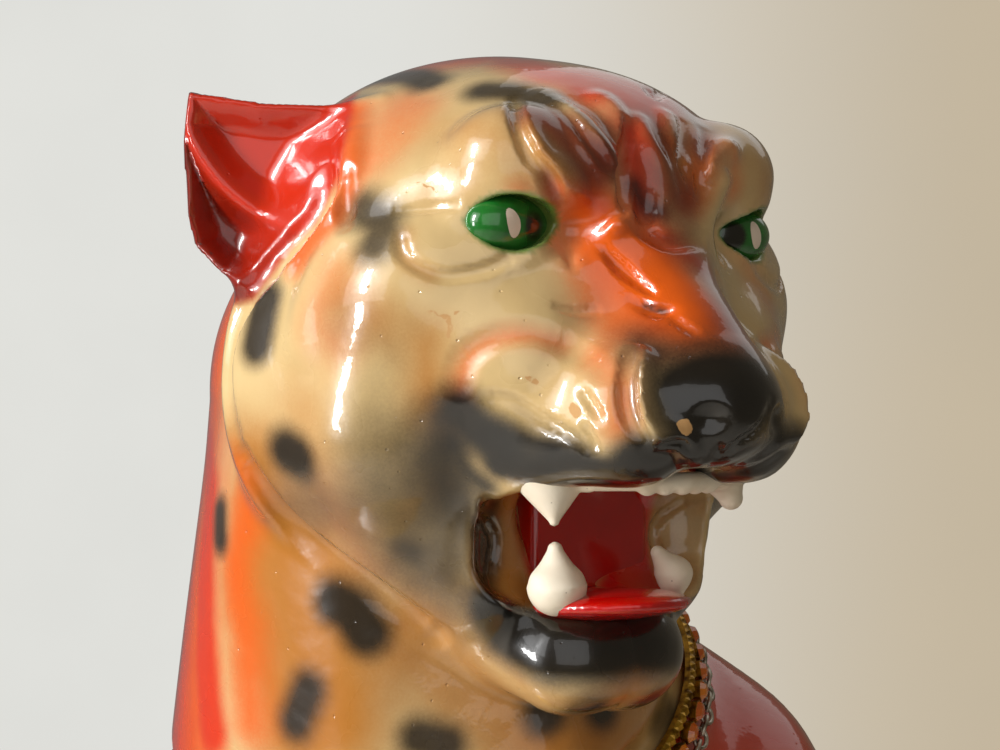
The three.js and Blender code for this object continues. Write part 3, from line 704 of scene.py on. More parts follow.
# Sprays a paint over a color where the mask is high; noise moves the mask only where it fades out
def makeSprayGroup():
    sockets = [("Under", "NodeSocketColor"), ("Paint", "NodeSocketColor"), ("Mask", "NodeSocketFloat")]
    group, given, result = newGroup("spray", sockets, "Color", "NodeSocketColor")
    place = objectPlace(group)
    shifts = []
    for scale, detail, amount in (spray["broad"], spray["grain"]):
        centered = calculated(group, "SUBTRACT", noise(group, place, scale, detail), 0.5)
        shifts.append(calculated(group, "MULTIPLY", centered, amount))
    inner = calculated(group, "SUBTRACT", given["Mask"], 1)
    edge = calculated(group, "MULTIPLY", given["Mask"], inner)
    amount = calculated(group, "MULTIPLY", edge, -4)
    moved = calculated(group, "MULTIPLY_ADD", calculated(group, "ADD", *shifts), amount, given["Mask"])
    group.links.new(blend(group, moved, given["Under"], given["Paint"]), result)
    return group


brushNoise = {"scale": 330, "detail": 3}


# A brushed edge: 1 where a distance in millimetres is below zero, with a ragged line
def makeBrushGroup():
    sockets = [("Distance", "NodeSocketFloat"), ("Soft", "NodeSocketFloat"), ("Ragged", "NodeSocketFloat")]
    group, given, result = newGroup("brush", sockets, "Mask", "NodeSocketFloat")
    centered = calculated(group, "SUBTRACT", noise(group, objectPlace(group), **brushNoise), 0.5)
    moved = calculated(group, "MULTIPLY_ADD", centered, given["Ragged"], given["Distance"])
    low = calculated(group, "MULTIPLY", given["Soft"], -1)
    group.links.new(ramp(group, moved, low, given["Soft"], 1, 0, "SMOOTHSTEP"), result)
    return group


surface = {
    "waves": (55, 2),
    "ripple": (320, 2),
    "rippleHigh": 0.1,
    "pits": 170,
    "pitWide": 0.07,
    "pitDeep": -0.5,
}


# The glaze's surface: slow waves, a fine ripple and small pits as one height
def makeGlazeHeightGroup():
    group, _, result = newGroup("glazeHeight", [], "Height", "NodeSocketFloat")
    place = objectPlace(group)
    pits = ramp(group, cells(group, place, surface["pits"]), 0, surface["pitWide"], surface["pitDeep"], 0)
    ripple = noise(group, place, *surface["ripple"])
    fine = calculated(group, "MULTIPLY_ADD", ripple, surface["rippleHigh"], pits)
    group.links.new(calculated(group, "ADD", noise(group, place, *surface["waves"]), fine), result)
    return group


groups = {"spray": makeSprayGroup(), "brush": makeBrushGroup(), "glazeHeight": makeGlazeHeightGroup()}


def useGroup(tree, name, inputs=None):
    return addNode(tree, "ShaderNodeGroup", inputs, node_tree=groups[name]).outputs[0]


def mask(tree, name):
    return addNode(tree, "ShaderNodeAttribute", attribute_name=name).outputs["Fac"]


def brushed(tree, name, soft, ragged):
    return useGroup(tree, "brush", {"Distance": mask(tree, name), "Soft": soft, "Ragged": ragged})


def newMaterial(name):
    material = bpy.data.materials.new(name)
    material.use_nodes = True
    tree = material.node_tree
    return material, tree, tree.nodes["Principled BSDF"]


paints = {
    "cream": color(226, 197, 144),
    "sand": color(202, 168, 110),
    "ochre": color(178, 110, 34),
    "orange": color(224, 90, 8),
    "red": color(212, 50, 12),
    "ears": color(196, 44, 18),
    "brown": color(120, 34, 6),
    "green": color(60, 128, 50),
    "maroon": color(70, 8, 6),
    "smoke": color(44, 36, 26),
    "black": color(16, 13, 11),
    "mouth": color(208, 2, 2),
    "chip": color(196, 150, 96),
}


glazeLook = {
    "cloud": (26, 4),
    "rough": (0.2, 0.34),
    "chipRough": 0.5,
    "chipEdge": (0.12, 1.6),
    "bump": (0.5, 0.0011),
}


# Glaze in layers, each sprayed where the mask of its paint's name is high
def glazeMaterial(name, layers, chips=True):
    material, tree, shader = newMaterial(name)
    cloud = noise(tree, objectPlace(tree), *glazeLook["cloud"])
    base = blend(tree, cloud, paints["cream"], paints["sand"])
    for paint in layers:
        base = useGroup(tree, "spray", {"Under": base, "Paint": paints[paint], "Mask": mask(tree, paint)})
    rough = ramp(tree, cloud, 0, 1, *glazeLook["rough"])
    coat = 1
    if chips:
        chipped = brushed(tree, "chips", *glazeLook["chipEdge"])
        base = blend(tree, chipped, base, paints["chip"])
        rough = calculated(tree, "MULTIPLY_ADD", chipped, glazeLook["chipRough"], rough)
        coat = calculated(tree, "SUBTRACT", 1, chipped)
    glazed = bump(tree, useGroup(tree, "glazeHeight"), *glazeLook["bump"])
    looks = {"Base Color": base, "Roughness": rough, "Normal": glazed, "Coat Normal": glazed}
    setInputs(tree, shader, {**looks, "Coat Weight": coat, "Coat Roughness": 0.04, "Coat IOR": 1.52})
    return material


# How strongly each sprayed patch covers a point: patches are (middle, radii, strength)
def sprayed(p, patches, inner=0.45, outer=1.35):
    clear = np.ones(len(p))
    for middle, radii, strength in patches:
        reach = np.sqrt((((p - np.array(middle, float)) / np.array(radii, float)) ** 2).sum(1))
        clear *= 1 - strength * (1 - ease(reach, inner, outer))
    return 1 - clear


def bothSides(patches):
    return patches + [((-x, y, z), radii, strength) for (x, y, z), radii, strength in patches]


# How strongly spray-gun strokes cover a point: strokes are (picture points, radius, softness, strength)
def airbrushed(p, strokes):
    clear = np.ones(len(p))
    if not strokes:
        return 1 - clear
    ends = np.cumsum([len(points) for points, *_ in strokes])
    placed = seenOn(headCore, [point for points, *_ in strokes for point in points])
    for end, (points, radius, soft, strength) in zip(ends, strokes):
        path = smoothed(placed[end - len(points) : end], 3)
        d = stroke(path, np.full(len(path), float(radius)))(p)
        clear *= 1 - strength * (1 - ease(d, -soft, soft))
    return 1 - clear


# Strokes on the side that the photo shows, sprayed on both sides, and strokes on the middle of the face
sidePaint = {
    "ochre": [
        ([(300, 420), (325, 500), (390, 580), (450, 620)], 9, 11, 0.5),
        ([(345, 290), (375, 320)], 6, 7, 0.7),
        # painted shade along the lower edge of the bag under the eye
        ([(404, 236), (408, 262), (430, 276)], 2, 3, 0.6),
        ([(500, 505), (518, 540), (514, 600)], 5, 5, 0.8),
        # painted shade along the underside of the jaw
        ([(484, 560), (482, 620), (520, 680), (570, 705), (625, 690)], 2.5, 6, 0.6),
        ([(262, 480), (262, 560), (280, 640), (300, 720)], 16, 10, 0.95),
        ([(310, 560), (330, 640), (340, 720)], 12, 10, 0.85),
        # The next two: painted shade on the neck under the chin
        ([(420, 640), (470, 690), (520, 740)], 12, 9, 0.7),
        ([(640, 670), (620, 720), (560, 745)], 9, 8, 0.9),
        ([(400, 140), (430, 130), (470, 135)], 7, 8, 0.3),
        ([(455, 130), (500, 140), (520, 160)], 5, 8, 0.45),
        ([(430, 190), (470, 185)], 3, 6, 0.25),
        ([(425, 345), (430, 400), (445, 420)], 5, 7, 0.8),
    ],
    "orange": [
        ([(353, 112), (349, 170), (333, 215), (296, 260)], 4, 4, 0.9),
        ([(400, 112), (372, 150)], 9, 8, 0.55),
        ([(330, 275), (318, 320), (335, 345)], 5, 7, 0.4),
        ([(460, 400), (463, 372), (478, 348), (515, 336), (560, 344)], 1.6, 4, 0.8),
        ([(600, 355), (620, 385), (618, 425)], 3.4, 5, 0.7),
        ([(240, 480), (236, 560), (246, 640), (250, 720)], 7, 8, 0.85),
        ([(330, 480), (360, 560)], 5, 9, 0.2),
    ],
    "red": [
        ([(212, 320), (208, 450), (205, 560), (205, 660), (212, 730)], 7, 4, 0.97),
    ],
    "smoke": [
        ([(362, 208), (382, 224), (376, 244)], 5.5, 4, 0.9),
        ([(266, 300), (256, 345)], 5.5, 3, 0.98),
        ([(288, 452), (296, 457)], 6.5, 3.5, 0.99),
        ([(384, 78), (412, 76), (430, 82)], 5.5, 3.5, 0.95),
        # The next four strokes darken the lower cheek and jaw behind the mouth: smoky glaze and painted
        # shade together
        ([(446, 424), (442, 460), (458, 500), (478, 545)], 7, 6, 0.92),
        ([(385, 460), (412, 510), (440, 560)], 11, 9, 0.62),
        ([(292, 505), (340, 500), (390, 560)], 10, 9, 0.45),
        ([(438, 560), (462, 610)], 7, 8, 0.6),
        ([(412, 552), (404, 548)], 3.4, 3.5, 0.8),
        ([(340, 330), (385, 350), (370, 400)], 7, 9, 0.25),
        ([(336, 602), (352, 612), (366, 632)], 6.5, 3.5, 0.99),
        ([(308, 690), (296, 722)], 5.5, 4, 0.98),
        ([(420, 738), (446, 744)], 5.5, 3.5, 0.96),
        ([(545, 714), (585, 711)], 6, 3.5, 0.97),
        ([(220, 512), (220, 538)], 4.5, 3, 0.98),
        # painted shade in the crease at the mouth's corner
        ([(492, 505), (488, 560), (488, 600)], 3, 2.5, 0.85),
    ],
    "black": [
        ([(461, 410), (478, 430), (500, 444)], 6, 4, 0.97),
        ([(495, 440), (530, 452), (570, 464)], 6.5, 4, 0.98),
        ([(560, 464), (600, 472), (648, 470)], 5.5, 3, 0.99),
        ([(455, 446), (466, 470), (486, 486)], 3, 3, 0.9),
        ([(500, 466), (540, 476), (600, 480), (640, 476)], 4.5, 2.5, 0.99),
        ([(488, 612), (504, 640), (540, 658), (590, 662), (640, 650), (664, 630)], 6, 4, 0.98),
        ([(500, 618), (540, 634), (600, 638), (650, 626)], 5.5, 3.5, 0.98),
        ([(504, 606), (540, 616), (600, 618), (652, 608)], 3.5, 3, 0.97),
    ],
}
frontPaint = {
    "ochre": [
        ([(740, 150), (765, 190)], 5, 9, 0.4),
        ([(770, 300), (782, 350)], 5, 9, 0.5),
        ([(600, 345), (560, 390)], 4, 8, 0.2),
        ([(535, 125), (548, 158), (560, 178)], 3, 4, 0.8),
        ([(672, 150), (690, 180)], 6, 5, 0.8),
    ],
    "orange": [
        ([(588, 216), (604, 240), (640, 300), (690, 330)], 8, 8, 0.98),
        ([(640, 250), (690, 300), (730, 330)], 9, 7, 0.98),
        ([(590, 250), (596, 290), (615, 325)], 6, 8, 0.7),
        ([(590, 190), (600, 210)], 4, 5, 0.9),
        ([(700, 140), (700, 170), (690, 200)], 4, 5, 0.8),
        ([(735, 150), (733, 190)], 3, 4, 0.5),
        ([(520, 190), (536, 200)], 2.5, 4, 0.5),
        ([(745, 255), (765, 300)], 4, 7, 0.4),
    ],
    "brown": [
        ([(540, 112), (572, 138), (592, 165)], 7, 5, 0.92),
        ([(600, 125), (612, 160)], 5, 4, 0.85),
        ([(652, 122), (660, 160), (680, 195)], 7, 5, 0.85),
        ([(702, 112), (702, 150)], 5, 5, 0.8),
        ([(690, 250), (720, 290), (735, 325)], 6, 7, 0.8),
        ([(640, 335), (648, 352)], 5, 6, 0.7),
        # painted shade in the groove beside the eye
        ([(545, 175), (556, 205)], 1.5, 2.5, 0.8),
    ],
    "red": [
        ([(440, 52), (520, 62), (600, 76), (650, 96)], 8, 6, 0.9),
        ([(590, 92), (640, 100), (690, 108)], 7, 6, 0.85),
        ([(560, 190), (600, 205)], 2, 4, 0.5),
        ([(628, 130), (636, 170), (640, 205)], 4, 4.5, 0.95),
        ([(660, 235), (700, 262)], 3, 5, 0.6),
    ],
    # Both maroon strokes are painted shade: in the pit between the brows and in a frown crease
    "maroon": [
        ([(634, 186), (646, 206), (660, 212)], 2.4, 2.6, 0.9),
        ([(607, 150), (614, 172)], 1.4, 2.4, 0.5),
    ],
    "smoke": [
        ([(484, 90), (515, 92), (545, 99)], 5, 3.5, 0.95),
        ([(688, 112), (694, 122)], 2.5, 4, 0.6),
        # painted shade in a small crease at the top of the forehead
        ([(648, 92), (662, 90)], 1.5, 2.5, 0.5),
        ([(640, 345), (660, 350), (700, 345), (750, 350)], 4, 7, 0.75),
        # painted shade in the slit across the lower bridge of the nose
        ([(646, 306), (664, 312)], 0.8, 1, 0.9),
    ],
    "black": [
        ([(684, 388), (715, 376), (755, 384)], 9, 5, 0.99),
        ([(700, 420), (740, 420)], 10, 5, 0.99),
        ([(764, 380), (772, 420), (768, 450)], 6, 5, 0.97),
        # painted shade in the groove beside the nose
        ([(640, 362), (634, 392), (638, 420)], 0.6, 1.6, 0.7),
        ([(640, 462), (690, 460), (740, 460), (785, 448)], 7, 3, 0.99),
        ([(660, 470), (700, 472), (755, 470)], 4.5, 3, 0.99),
        ([(668, 450), (678, 458), (690, 466)], 4.5, 3, 0.99),
    ],
}


# Patches of red on the crown, and of smoky spots behind the ears and down the back of the neck
crownRed = bothSides([((0, 62, 50), (60, 46, 14), 0.9), ((60, 78, 8), (24, 22, 30), 0.9)])
backSpots = bothSides([
    ((46, 96, 14), (9, 12, 9), 0.85),
    ((16, 98, 30), (9, 12, 7), 0.8),
    ((20, 122, -10), (10, 9, 12), 0.85),
    ((44, 122, -44), (10, 9, 12), 0.85),
    ((14, 134, -70), (10, 9, 12), 0.85),
    ((40, 136, -100), (11, 9, 12), 0.85),
])

# Where a paint begins and where it is full, along an axis of the head's frame
fades = {
    "high": (0, 16),
    "orangeBack": (66, 100),
    "orangeCrown": (52, 78),
    "redBack": (84, 120),
    "redCrown": (64, 94),
    "mouthRight": (-17, -13),
    "mouthLeft": (-25, -21),
    "mouthBack": (4, 10),
    "mouthFloor": (84, 88),
    "mouthFront": (-16, -10),
    "nearWall": (14, 18),
    "farWall": (18, 22),
    "farFront": (-20, -12),
    "inMouth": (1, 3),
    "byMouth": (2, 5),
}

# Chips in the glaze: picture points and radius
chipStrokes = [
    ([(428, 311), (444, 316), (460, 312)], 0.45),
    ([(446, 316), (451, 324), (448, 338)], 0.6),
    ([(526, 376), (538, 384)], 0.6),
    ([(573, 408), (576, 412)], 1.3),
    ([(684, 425), (686, 428)], 1.6),
    ([(418, 183), (434, 189)], 0.35),
]


def chipDistance(p):
    d = np.full(len(p), 30.0)
    for points, radius in chipStrokes:
        path = smoothed(seenOn(headCore, points), 3)
        d = np.minimum(d, stroke(path, np.full(len(path), radius))(p))
    return d


def headMasks(p):
    masks = {}
    for paint in ("ochre", "orange", "brown", "red", "maroon", "smoke", "black"):
        side = airbrushed(mirrored(p, -1), sidePaint.get(paint, []))
        front = airbrushed(p, frontPaint.get(paint, []))
        masks[paint] = 1 - (1 - side) * (1 - front)
    paintBack(p, masks)
    paintMouth(p, masks)
    masks["green"] = 0.8 - 0.8 * ease(np.abs(eyeSpace(p) - 0.3), 0.3, 1.5)
    masks["chips"] = chipDistance(p)
    return masks


# Orange, then red, towards the back of the head; both begin further forward on the crown
def paintBack(p, masks):
    high = ease(p[:, 2], *fades["high"])
    for paint in ("orange", "red"):
        back = ease(p[:, 1], *fades[paint + "Back"])
        crown = ease(p[:, 1], *fades[paint + "Crown"]) * high
        masks[paint] = np.maximum.reduce([masks[paint], back, crown])
    masks["red"] = np.maximum(masks["red"], sprayed(p, crownRed))
    masks["smoke"] = np.maximum(masks["smoke"], sprayed(p, backSpots))


# The mouth is red at the back and on its floor, ochre on the near wall, and lighter at the far corner:
# painted light, where the dark paints are mostly taken away
def paintMouth(p, masks):
    x, y, z = p.T
    depth = mouthSpace(p)
    within = 1 - ease(depth, *fades["inMouth"])
    inside = within * ease(x, *fades["mouthRight"]) * ease(-x, *fades["mouthLeft"])
    floor = ease(-z, *fades["mouthFloor"]) * ease(y, *fades["mouthFront"])
    masks["mouth"] = inside * np.maximum(ease(y, *fades["mouthBack"]), floor)
    masks["ochre"] = np.maximum(masks["ochre"], 0.85 * within * ease(-x, *fades["nearWall"]))
    # Painted light: the far corner loses most of its dark paints, so it reads lighter than the shade there
    farSide = ease(x, *fades["farWall"]) * ease(y, *fades["farFront"])
    farCorner = farSide * (1 - ease(depth, *fades["byMouth"]))
    for paint in ("smoke", "black", "brown"):
        masks[paint] = masks[paint] * (1 - 0.85 * farCorner)


headLayers = ("ochre", "orange", "brown", "red", "ears", "smoke", "maroon", "green", "black", "mouth")


# Where the ear's paints begin and are full: out is away from the head, deep is from behind to the front
earFades = {
    "glazed": (-1, 2),
    "deep": (-26, -20),
    "frontDeep": (-16, -6),
    "out": (4, 14),
    "hollow": (0, 2.5),
    "hollowDeep": (-14, -10),
    "hollowOut": (4, 18),
    "edge": (0.4, 2),
    "edgeOut": (20, 25),
}


# The ears' red glaze turns to maroon in the lower hollow, painted shade that deepens away from the head,
# and to black along the outer edge, painted shade where the rim turns away
def earMasks(p):
    u, v, w = earFrame(mirrored(p, -1)).T
    front = np.maximum(ease(w, *earFades["frontDeep"]), ease(-u, *earFades["out"]))
    glazed = 1 - ease(outlineDistance(u, v, ear["glazed"]), *earFades["glazed"])
    onEar = glazed * ease(w, *earFades["deep"]) * front
    # Painted shade: maroon in the lower hollow
    hollow = ease(-ridgeSide(u, v), *earFades["hollow"]) * ease(w, *earFades["hollowDeep"]) * onEar
    hollow *= 0.2 + 0.45 * ease(-u, *earFades["hollowOut"])
    rim = np.abs(outlineDistance(u, v, ear["outline"]) + 0.4)
    # Painted shade: black along the outer rim
    edge = ease(-u, *earFades["edgeOut"]) * (1 - ease(rim, *earFades["edge"])) * onEar
    return onEar, hollow, edge


headSkin = {"low": (-108, -62, -190), "high": (108, 180, 60), "spacing": 1.15, "quickSpacing": 2.2}


def makeHead():
    spacing = headSkin["spacing"]
    points, faces = fieldSkin(headSkinField, headSkin["low"], headSkin["high"], spacing)
    print("head points", len(points))
    onEars = earForm(points) < join(faceField(points), nape(points), throat["earFillet"]) - 0.01
    owner = np.where(onEars, np.where(points[:, 0] < 0, 1, 2), 0)
    names = ["headSkin", "earRight", "earLeft"]
    masks = headMasks(points)
    masks["ears"], hollow, edge = earMasks(points)
    # Painted shade in the ears: maroon in the hollows and black along the outer rims
    masks["maroon"] = np.maximum(masks["maroon"], hollow)
    masks["black"] = np.maximum(masks["black"], edge)
    pieces = splitSkin(points, faces, owner, names, headFrame, headSkinField, masks)
    glaze = glazeMaterial("headGlaze", headLayers)
    for name, obj in pieces.items():
        obj.data.materials.append(glaze)
        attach(obj, "figure")
    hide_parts("head")
    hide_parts("ear_right")
    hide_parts("ear_left")


makeHead()

# Eyes: glazed beads with a dark pupil towards the nose and a painted highlight


def gridBead(rows, columns):
    points, faces = [], []
    for row in range(rows + 1):
        tilt = math.pi * row / rows
        for column in range(columns):
            angle = 2 * math.pi * column / columns
            out = math.sin(tilt)
            points.append((out * math.cos(angle), -math.cos(tilt), out * math.sin(angle)))
    for row in range(rows):
        for column in range(columns):
            here, beside = row * columns + column, row * columns + (column + 1) % columns
            faces.append((here, here + columns, beside + columns, beside))
    return np.array(points), faces


eye = {
    "size": (12.5, 8, 7.8),
    "back": 1.2,
    "up": -1.2,
    "swing": 12.5,
    "pupil": {"middle": (-1, -0.6), "wide": 0.9, "radius": 3.6},
    "leaf": {"middle": (5.4, -0.2), "narrow": 2, "lean": 0.2, "radius": 3.4},
    "greens": (color(8, 84, 26), color(44, 132, 52)),
    "dark": color(20, 22, 12),
    "light": color(246, 226, 206),
}


def eyeMaterial():
    material, tree, shader = newMaterial("eyeGlaze")
    green = blend(tree, noise(tree, objectPlace(tree), 240, 3), *eye["greens"])
    dark = blend(tree, brushed(tree, "pupil", 1.1, 0.8), green, eye["dark"])
    final = blend(tree, brushed(tree, "leaf", 0.08, 0.5), dark, eye["light"])
    looks = {"Base Color": final, "Normal": bump(tree, useGroup(tree, "glazeHeight"), 0.3, 0.0003)}
    setInputs(tree, shader, {**looks, "Roughness": 0.2, "Coat Weight": 1, "Coat Roughness": 0.02})
    return material


# Distances in millimetres to the painted pupil and to the leaf-shaped highlight in it
def eyeMarks(unit, side):
    pupil, leaf = eye["pupil"], eye["leaf"]
    x, z = unit[:, 0] * side * eye["size"][0], unit[:, 2] * eye["size"][2]
    pupilX, pupilZ = pupil["middle"]
    leafX, leafZ = leaf["middle"]
    toPupil = np.hypot((x - pupilX) / pupil["wide"], z - pupilZ) - pupil["radius"]
    leaned = (x - leafX + leaf["lean"] * z * side) * leaf["narrow"]
    return toPupil, np.hypot(leaned, z - leafZ) - leaf["radius"]


def makeEyes():
    glaze = eyeMaterial()
    unit, faces = gridBead(48, 64)
    for side, word in ((-1, "Right"), (1, "Left")):
        turned = unit * np.array(eye["size"]) @ rotated(0, -side * eye["swing"]).T
        points = turned + np.array([side * head["eyeApart"], eye["back"], eye["up"]])
        obj = meshObject("eye" + word, points, faces, headFrame)
        pupil, leaf = eyeMarks(unit, side)
        addMask(obj, "pupil", pupil)
        addMask(obj, "leaf", leaf)
        obj.data.materials.append(glaze)
        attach(obj, "figure")
        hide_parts("eye_" + word.lower())


makeEyes()

# Teeth in matt ivory paint


toothPaint = {"light": color(250, 240, 220), "shade": color(236, 218, 190), "speck": color(120, 100, 70)}


def toothMaterial():
    material, tree, shader = newMaterial("toothPaint")
    place = objectPlace(tree)
    cloud = noise(tree, place, 160, 5)
    paint = blend(tree, cloud, toothPaint["light"], toothPaint["shade"])
    speck = ramp(tree, cells(tree, place, 260), 0.03, 0.07, 0.7, 0)
    final = blend(tree, speck, paint, toothPaint["speck"])
    looks = {"Base Color": final, "Roughness": 0.55, "Normal": bump(tree, cloud, 0.5, 0.0004)}
    setInputs(tree, shader, looks)
    return material


incisors = {
    "gum": [(-20, -15, -60.5), (-11, -21, -60.5), (0, -23.5, -60.5), (11, -21, -60.5), (20, -15, -60.5)],
    "gumRadius": 2.1,
    "crownsAt": (-9, -4.5, 0, 4.5, 9),
    "crownSize": [2.4, 1.7, 1.6],
}


def incisorField():
    line = incisors["gum"]
    forms = [(stroke(line, [incisors["gumRadius"]] * len(line)), 1)]
    for x in incisors["crownsAt"]:
        forms.append((egg([x, -22.5 + abs(x) * 0.2, -62.2], incisors["crownSize"]), 1))
    return joined(forms)


# Each tooth's form, with the low and high corner of the space that holds it
teeth = {
    "upper_canine_right": (
        joined([
            (limb([-25.5, -6, -61], [-26.5, -8.5, -69.6], 8.4, 1.2), 1),
            (limb([-31, -1, -60], [-20, -13, -60.4], 2.2, 2.6), 1),
        ]),
        (-40, -22, -72),
        (-10, 12, -48),
    ),
    "upper_canine_left": (
        joined([
            (limb([25.5, -6, -58], [27.5, -8, -66], 7, 3), 1),
            (limb([30, -2, -61], [20, -13, -61], 3, 3), 3),
        ]),
        (10, -22, -72),
        (40, 12, -48),
    ),
    "lower_canine_right": (
        joined([
            (limb([-16.5, 4, -86], [-17, 4, -77.4], 7.2, 1.9), 1),
            (egg([-16.5, 4, -85], [7.2, 5.6, 4.6]), 1),
        ]),
        (-28, -6, -96),
        (-6, 14, -72),
    ),
    "lower_canine_left": (
        joined([
            (limb([13.5, 3, -79.5], [18.5, 3, -85], 1.8, 4.6), 1),
            (limb([18.5, 3, -85], [18.8, 3, -91], 4.6, 1.8), 1),
        ]),
        (6, -6, -96),
        (28, 14, -72),
    ),
    "upper_incisors": (incisorField(), (-26, -30, -68), (26, -8, -56)),
}


def makeTeeth():
    ivory = toothMaterial()
    for node, (field, low, high) in teeth.items():
        points, faces = fieldSkin(field, low, high, 0.6)
        obj = meshObject(node.replace("_", "") + "Skin", points, faces, headFrame)
        obj.data.materials.append(ivory)
        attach(obj, "figure")
        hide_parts(node)


makeTeeth()

# Tongue: the floor and the back wall of the mouth in shiny red glaze


def wetMaterial(name, paint):
    material, tree, shader = newMaterial(name)
    cloud = noise(tree, objectPlace(tree), 90, 3)
    tint = blend(tree, cloud, darker(paint, 0.7), paint)
    looks = {"Base Color": tint, "Normal": bump(tree, useGroup(tree, "glazeHeight"), 0.5, 0.0006)}
    setInputs(tree, shader, {**looks, "Roughness": 0.25, "Coat Weight": 1, "Coat Roughness": 0.03})
    return material


def makeTongue():
    field = joined([
        (roundBox([4.5, 23, -76], [18, 5.5, 18], 2), 1),
        (egg([0, 7, -91.5], [20, 23, 4], -4), 3),
    ])
    points, faces = fieldSkin(field, (-26, -18, -104), (26, 34, -50), 0.9)
    obj = meshObject("tongueSkin", points, faces, headFrame)
    obj.data.materials.append(wetMaterial("tongueGlaze", paints["mouth"]))
    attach(obj, "figure")
    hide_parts("tongue")


makeTongue()

# Collar: a faceted strip, a row of cut stones in cups and a double chain, in the collar's own frame

collar = {"start": 101, "end": 439}
strip = {"facets": 150, "along": 5.1, "wide": 3.6, "inner": 71.8, "thick": 2.3, "facetDepth": 0.35}
stones = {
    "count": 54,
    "sides": 8,
    "along": 0.6,
    "wide": 4.4,
    "long": 6.9,
    "inner": 73,
    "cup": [(0.86, 0), (1.06, 0.4), (1.1, 2.1), (0.98, 2.2), (0.9, 1.6)],
    "cut": [(0.8, 0.7), (0.98, 1.5), (0.98, 2.1), (0.62, 3.6), (0.2, 3.9)],
}
chain = {
    "count": 96,
    "along": -4.5,
    "radius": 75.7,
    "wide": 2.3,
    "long": 3.1,
    "wire": 0.62,
    "tilt": 32,
    "around": 20,
    "wireSides": 8,
}


def strandAngles(count):
    edges = np.radians(np.linspace(collar["start"], collar["end"], count + 1))
    return (edges[1:] + edges[:-1]) / 2


# Places local points, given as (round the neck, along its axis, outwards), at an angle and a radius
def roundNeck(local, angle, radius, along):
    outward = np.array([math.cos(angle), math.sin(angle), 0])
    forward = np.array([-math.sin(angle), math.cos(angle), 0])
    axis = np.array([0, 0, 1])
    local = np.array(local, float)
    return local[:, :1] * forward + (local[:, 1:2] + along) * axis + (local[:, 2:] + radius) * outward


def gatherMeshes(parts):
    points = np.concatenate([part[0] for part in parts])
    shifts = np.cumsum([0] + [len(part[0]) for part in parts[:-1]])
    faces = np.concatenate([np.array(part[1]) + shift for part, shift in zip(parts, shifts)])
    return points, faces


# Closed rings of points joined in order, with faces between each ring and the next
def ringFaces(rings, around, closed=False):
    faces = []
    for ring in range(rings if closed else rings - 1):
        for i in range(around):
            here, beside = ring * around + i, ring * around + (i + 1) % around
            over = ((ring + 1) % rings - ring) * around
            faces.append((here, beside, beside + over, here + over))
    return faces


# A band whose crest rises and falls from ring to ring, which gives it flat facets
def stripMesh():
    half, side, flat = strip["wide"] / 2, strip["thick"] * 0.6, strip["wide"] * 0.225
    rings = []
    for number in range(strip["facets"] * 2 + 1):
        turn = collar["start"] + (collar["end"] - collar["start"]) * number / (strip["facets"] * 2)
        crest = strip["thick"] + strip["facetDepth"] * (1 if number % 2 else -1)
        profile = [(-half, 0), (half, 0), (half, side), (flat, crest), (-flat, crest), (-half, side)]
        local = [(0, a, out) for a, out in profile]
        rings.append(roundNeck(local, math.radians(turn), strip["inner"], strip["along"]))
    last = (len(rings) - 1) * 6
    caps = [(3, 2, 1, 0), (5, 4, 3, 0)]
    caps += [(last, last + 1, last + 2, last + 3), (last, last + 3, last + 4, last + 5)]
    return np.concatenate(rings), np.array(ringFaces(len(rings), 6) + caps)


# A stone or its cup as rings of eight points: each ring has a share of the full size and a height
def stoneRings(rings):
    points = []
    for share, height in rings:
        for step in range(stones["sides"]):
            turn = 2 * math.pi * (step + 0.5) / stones["sides"]
            across = math.cos(turn) * share * stones["long"] / 2
            points.append((across, math.sin(turn) * share * stones["wide"] / 2, height))
    return points


def stoneMeshes(rings):
    local = stoneRings(rings)
    faces = ringFaces(len(rings), stones["sides"]) + [(0, 7, 6, 5), (0, 5, 4, 3), (0, 3, 2, 1)]
    faces += [(32, 33, 34, 35), (32, 35, 36, 37), (32, 37, 38, 39)]
    placed = []
    for angle in strandAngles(stones["count"]):
        placed.append((roundNeck(local, angle, stones["inner"], stones["along"]), faces))
    return gatherMeshes(placed)


# One oval link of round wire, tilted about the strand
def linkMesh(angle, tilt):
    a, b, wire = chain["long"], chain["wide"], chain["wire"]
    local = []
    for step in range(chain["around"]):
        turn = 2 * math.pi * step / chain["around"]
        middle = np.array([a * math.cos(turn), b * math.sin(turn), 0])
        away = np.array([b * math.cos(turn), a * math.sin(turn), 0])
        away /= np.linalg.norm(away)
        for side in range(chain["wireSides"]):
            phi = 2 * math.pi * side / chain["wireSides"]
            local.append(middle + wire * (math.cos(phi) * away + math.sin(phi) * np.array([0, 0, 1])))
    turned = np.array(local) @ rotated(tilt, 0).T
    placed = roundNeck(turned, angle, chain["radius"], chain["along"])
    return placed, ringFaces(chain["around"], chain["wireSides"], True)


# Each metal mixes a lit copy and a darker shaded copy of its colour in small random patches: painted
# highlight and painted shade
metals = {
    "oldGold": {"bright": color(204, 158, 60), "dark": color(96, 66, 20), "rough": 0.25},
    "oldSilver": {"bright": color(226, 220, 206), "dark": color(136, 128, 110), "rough": 0.35},
}


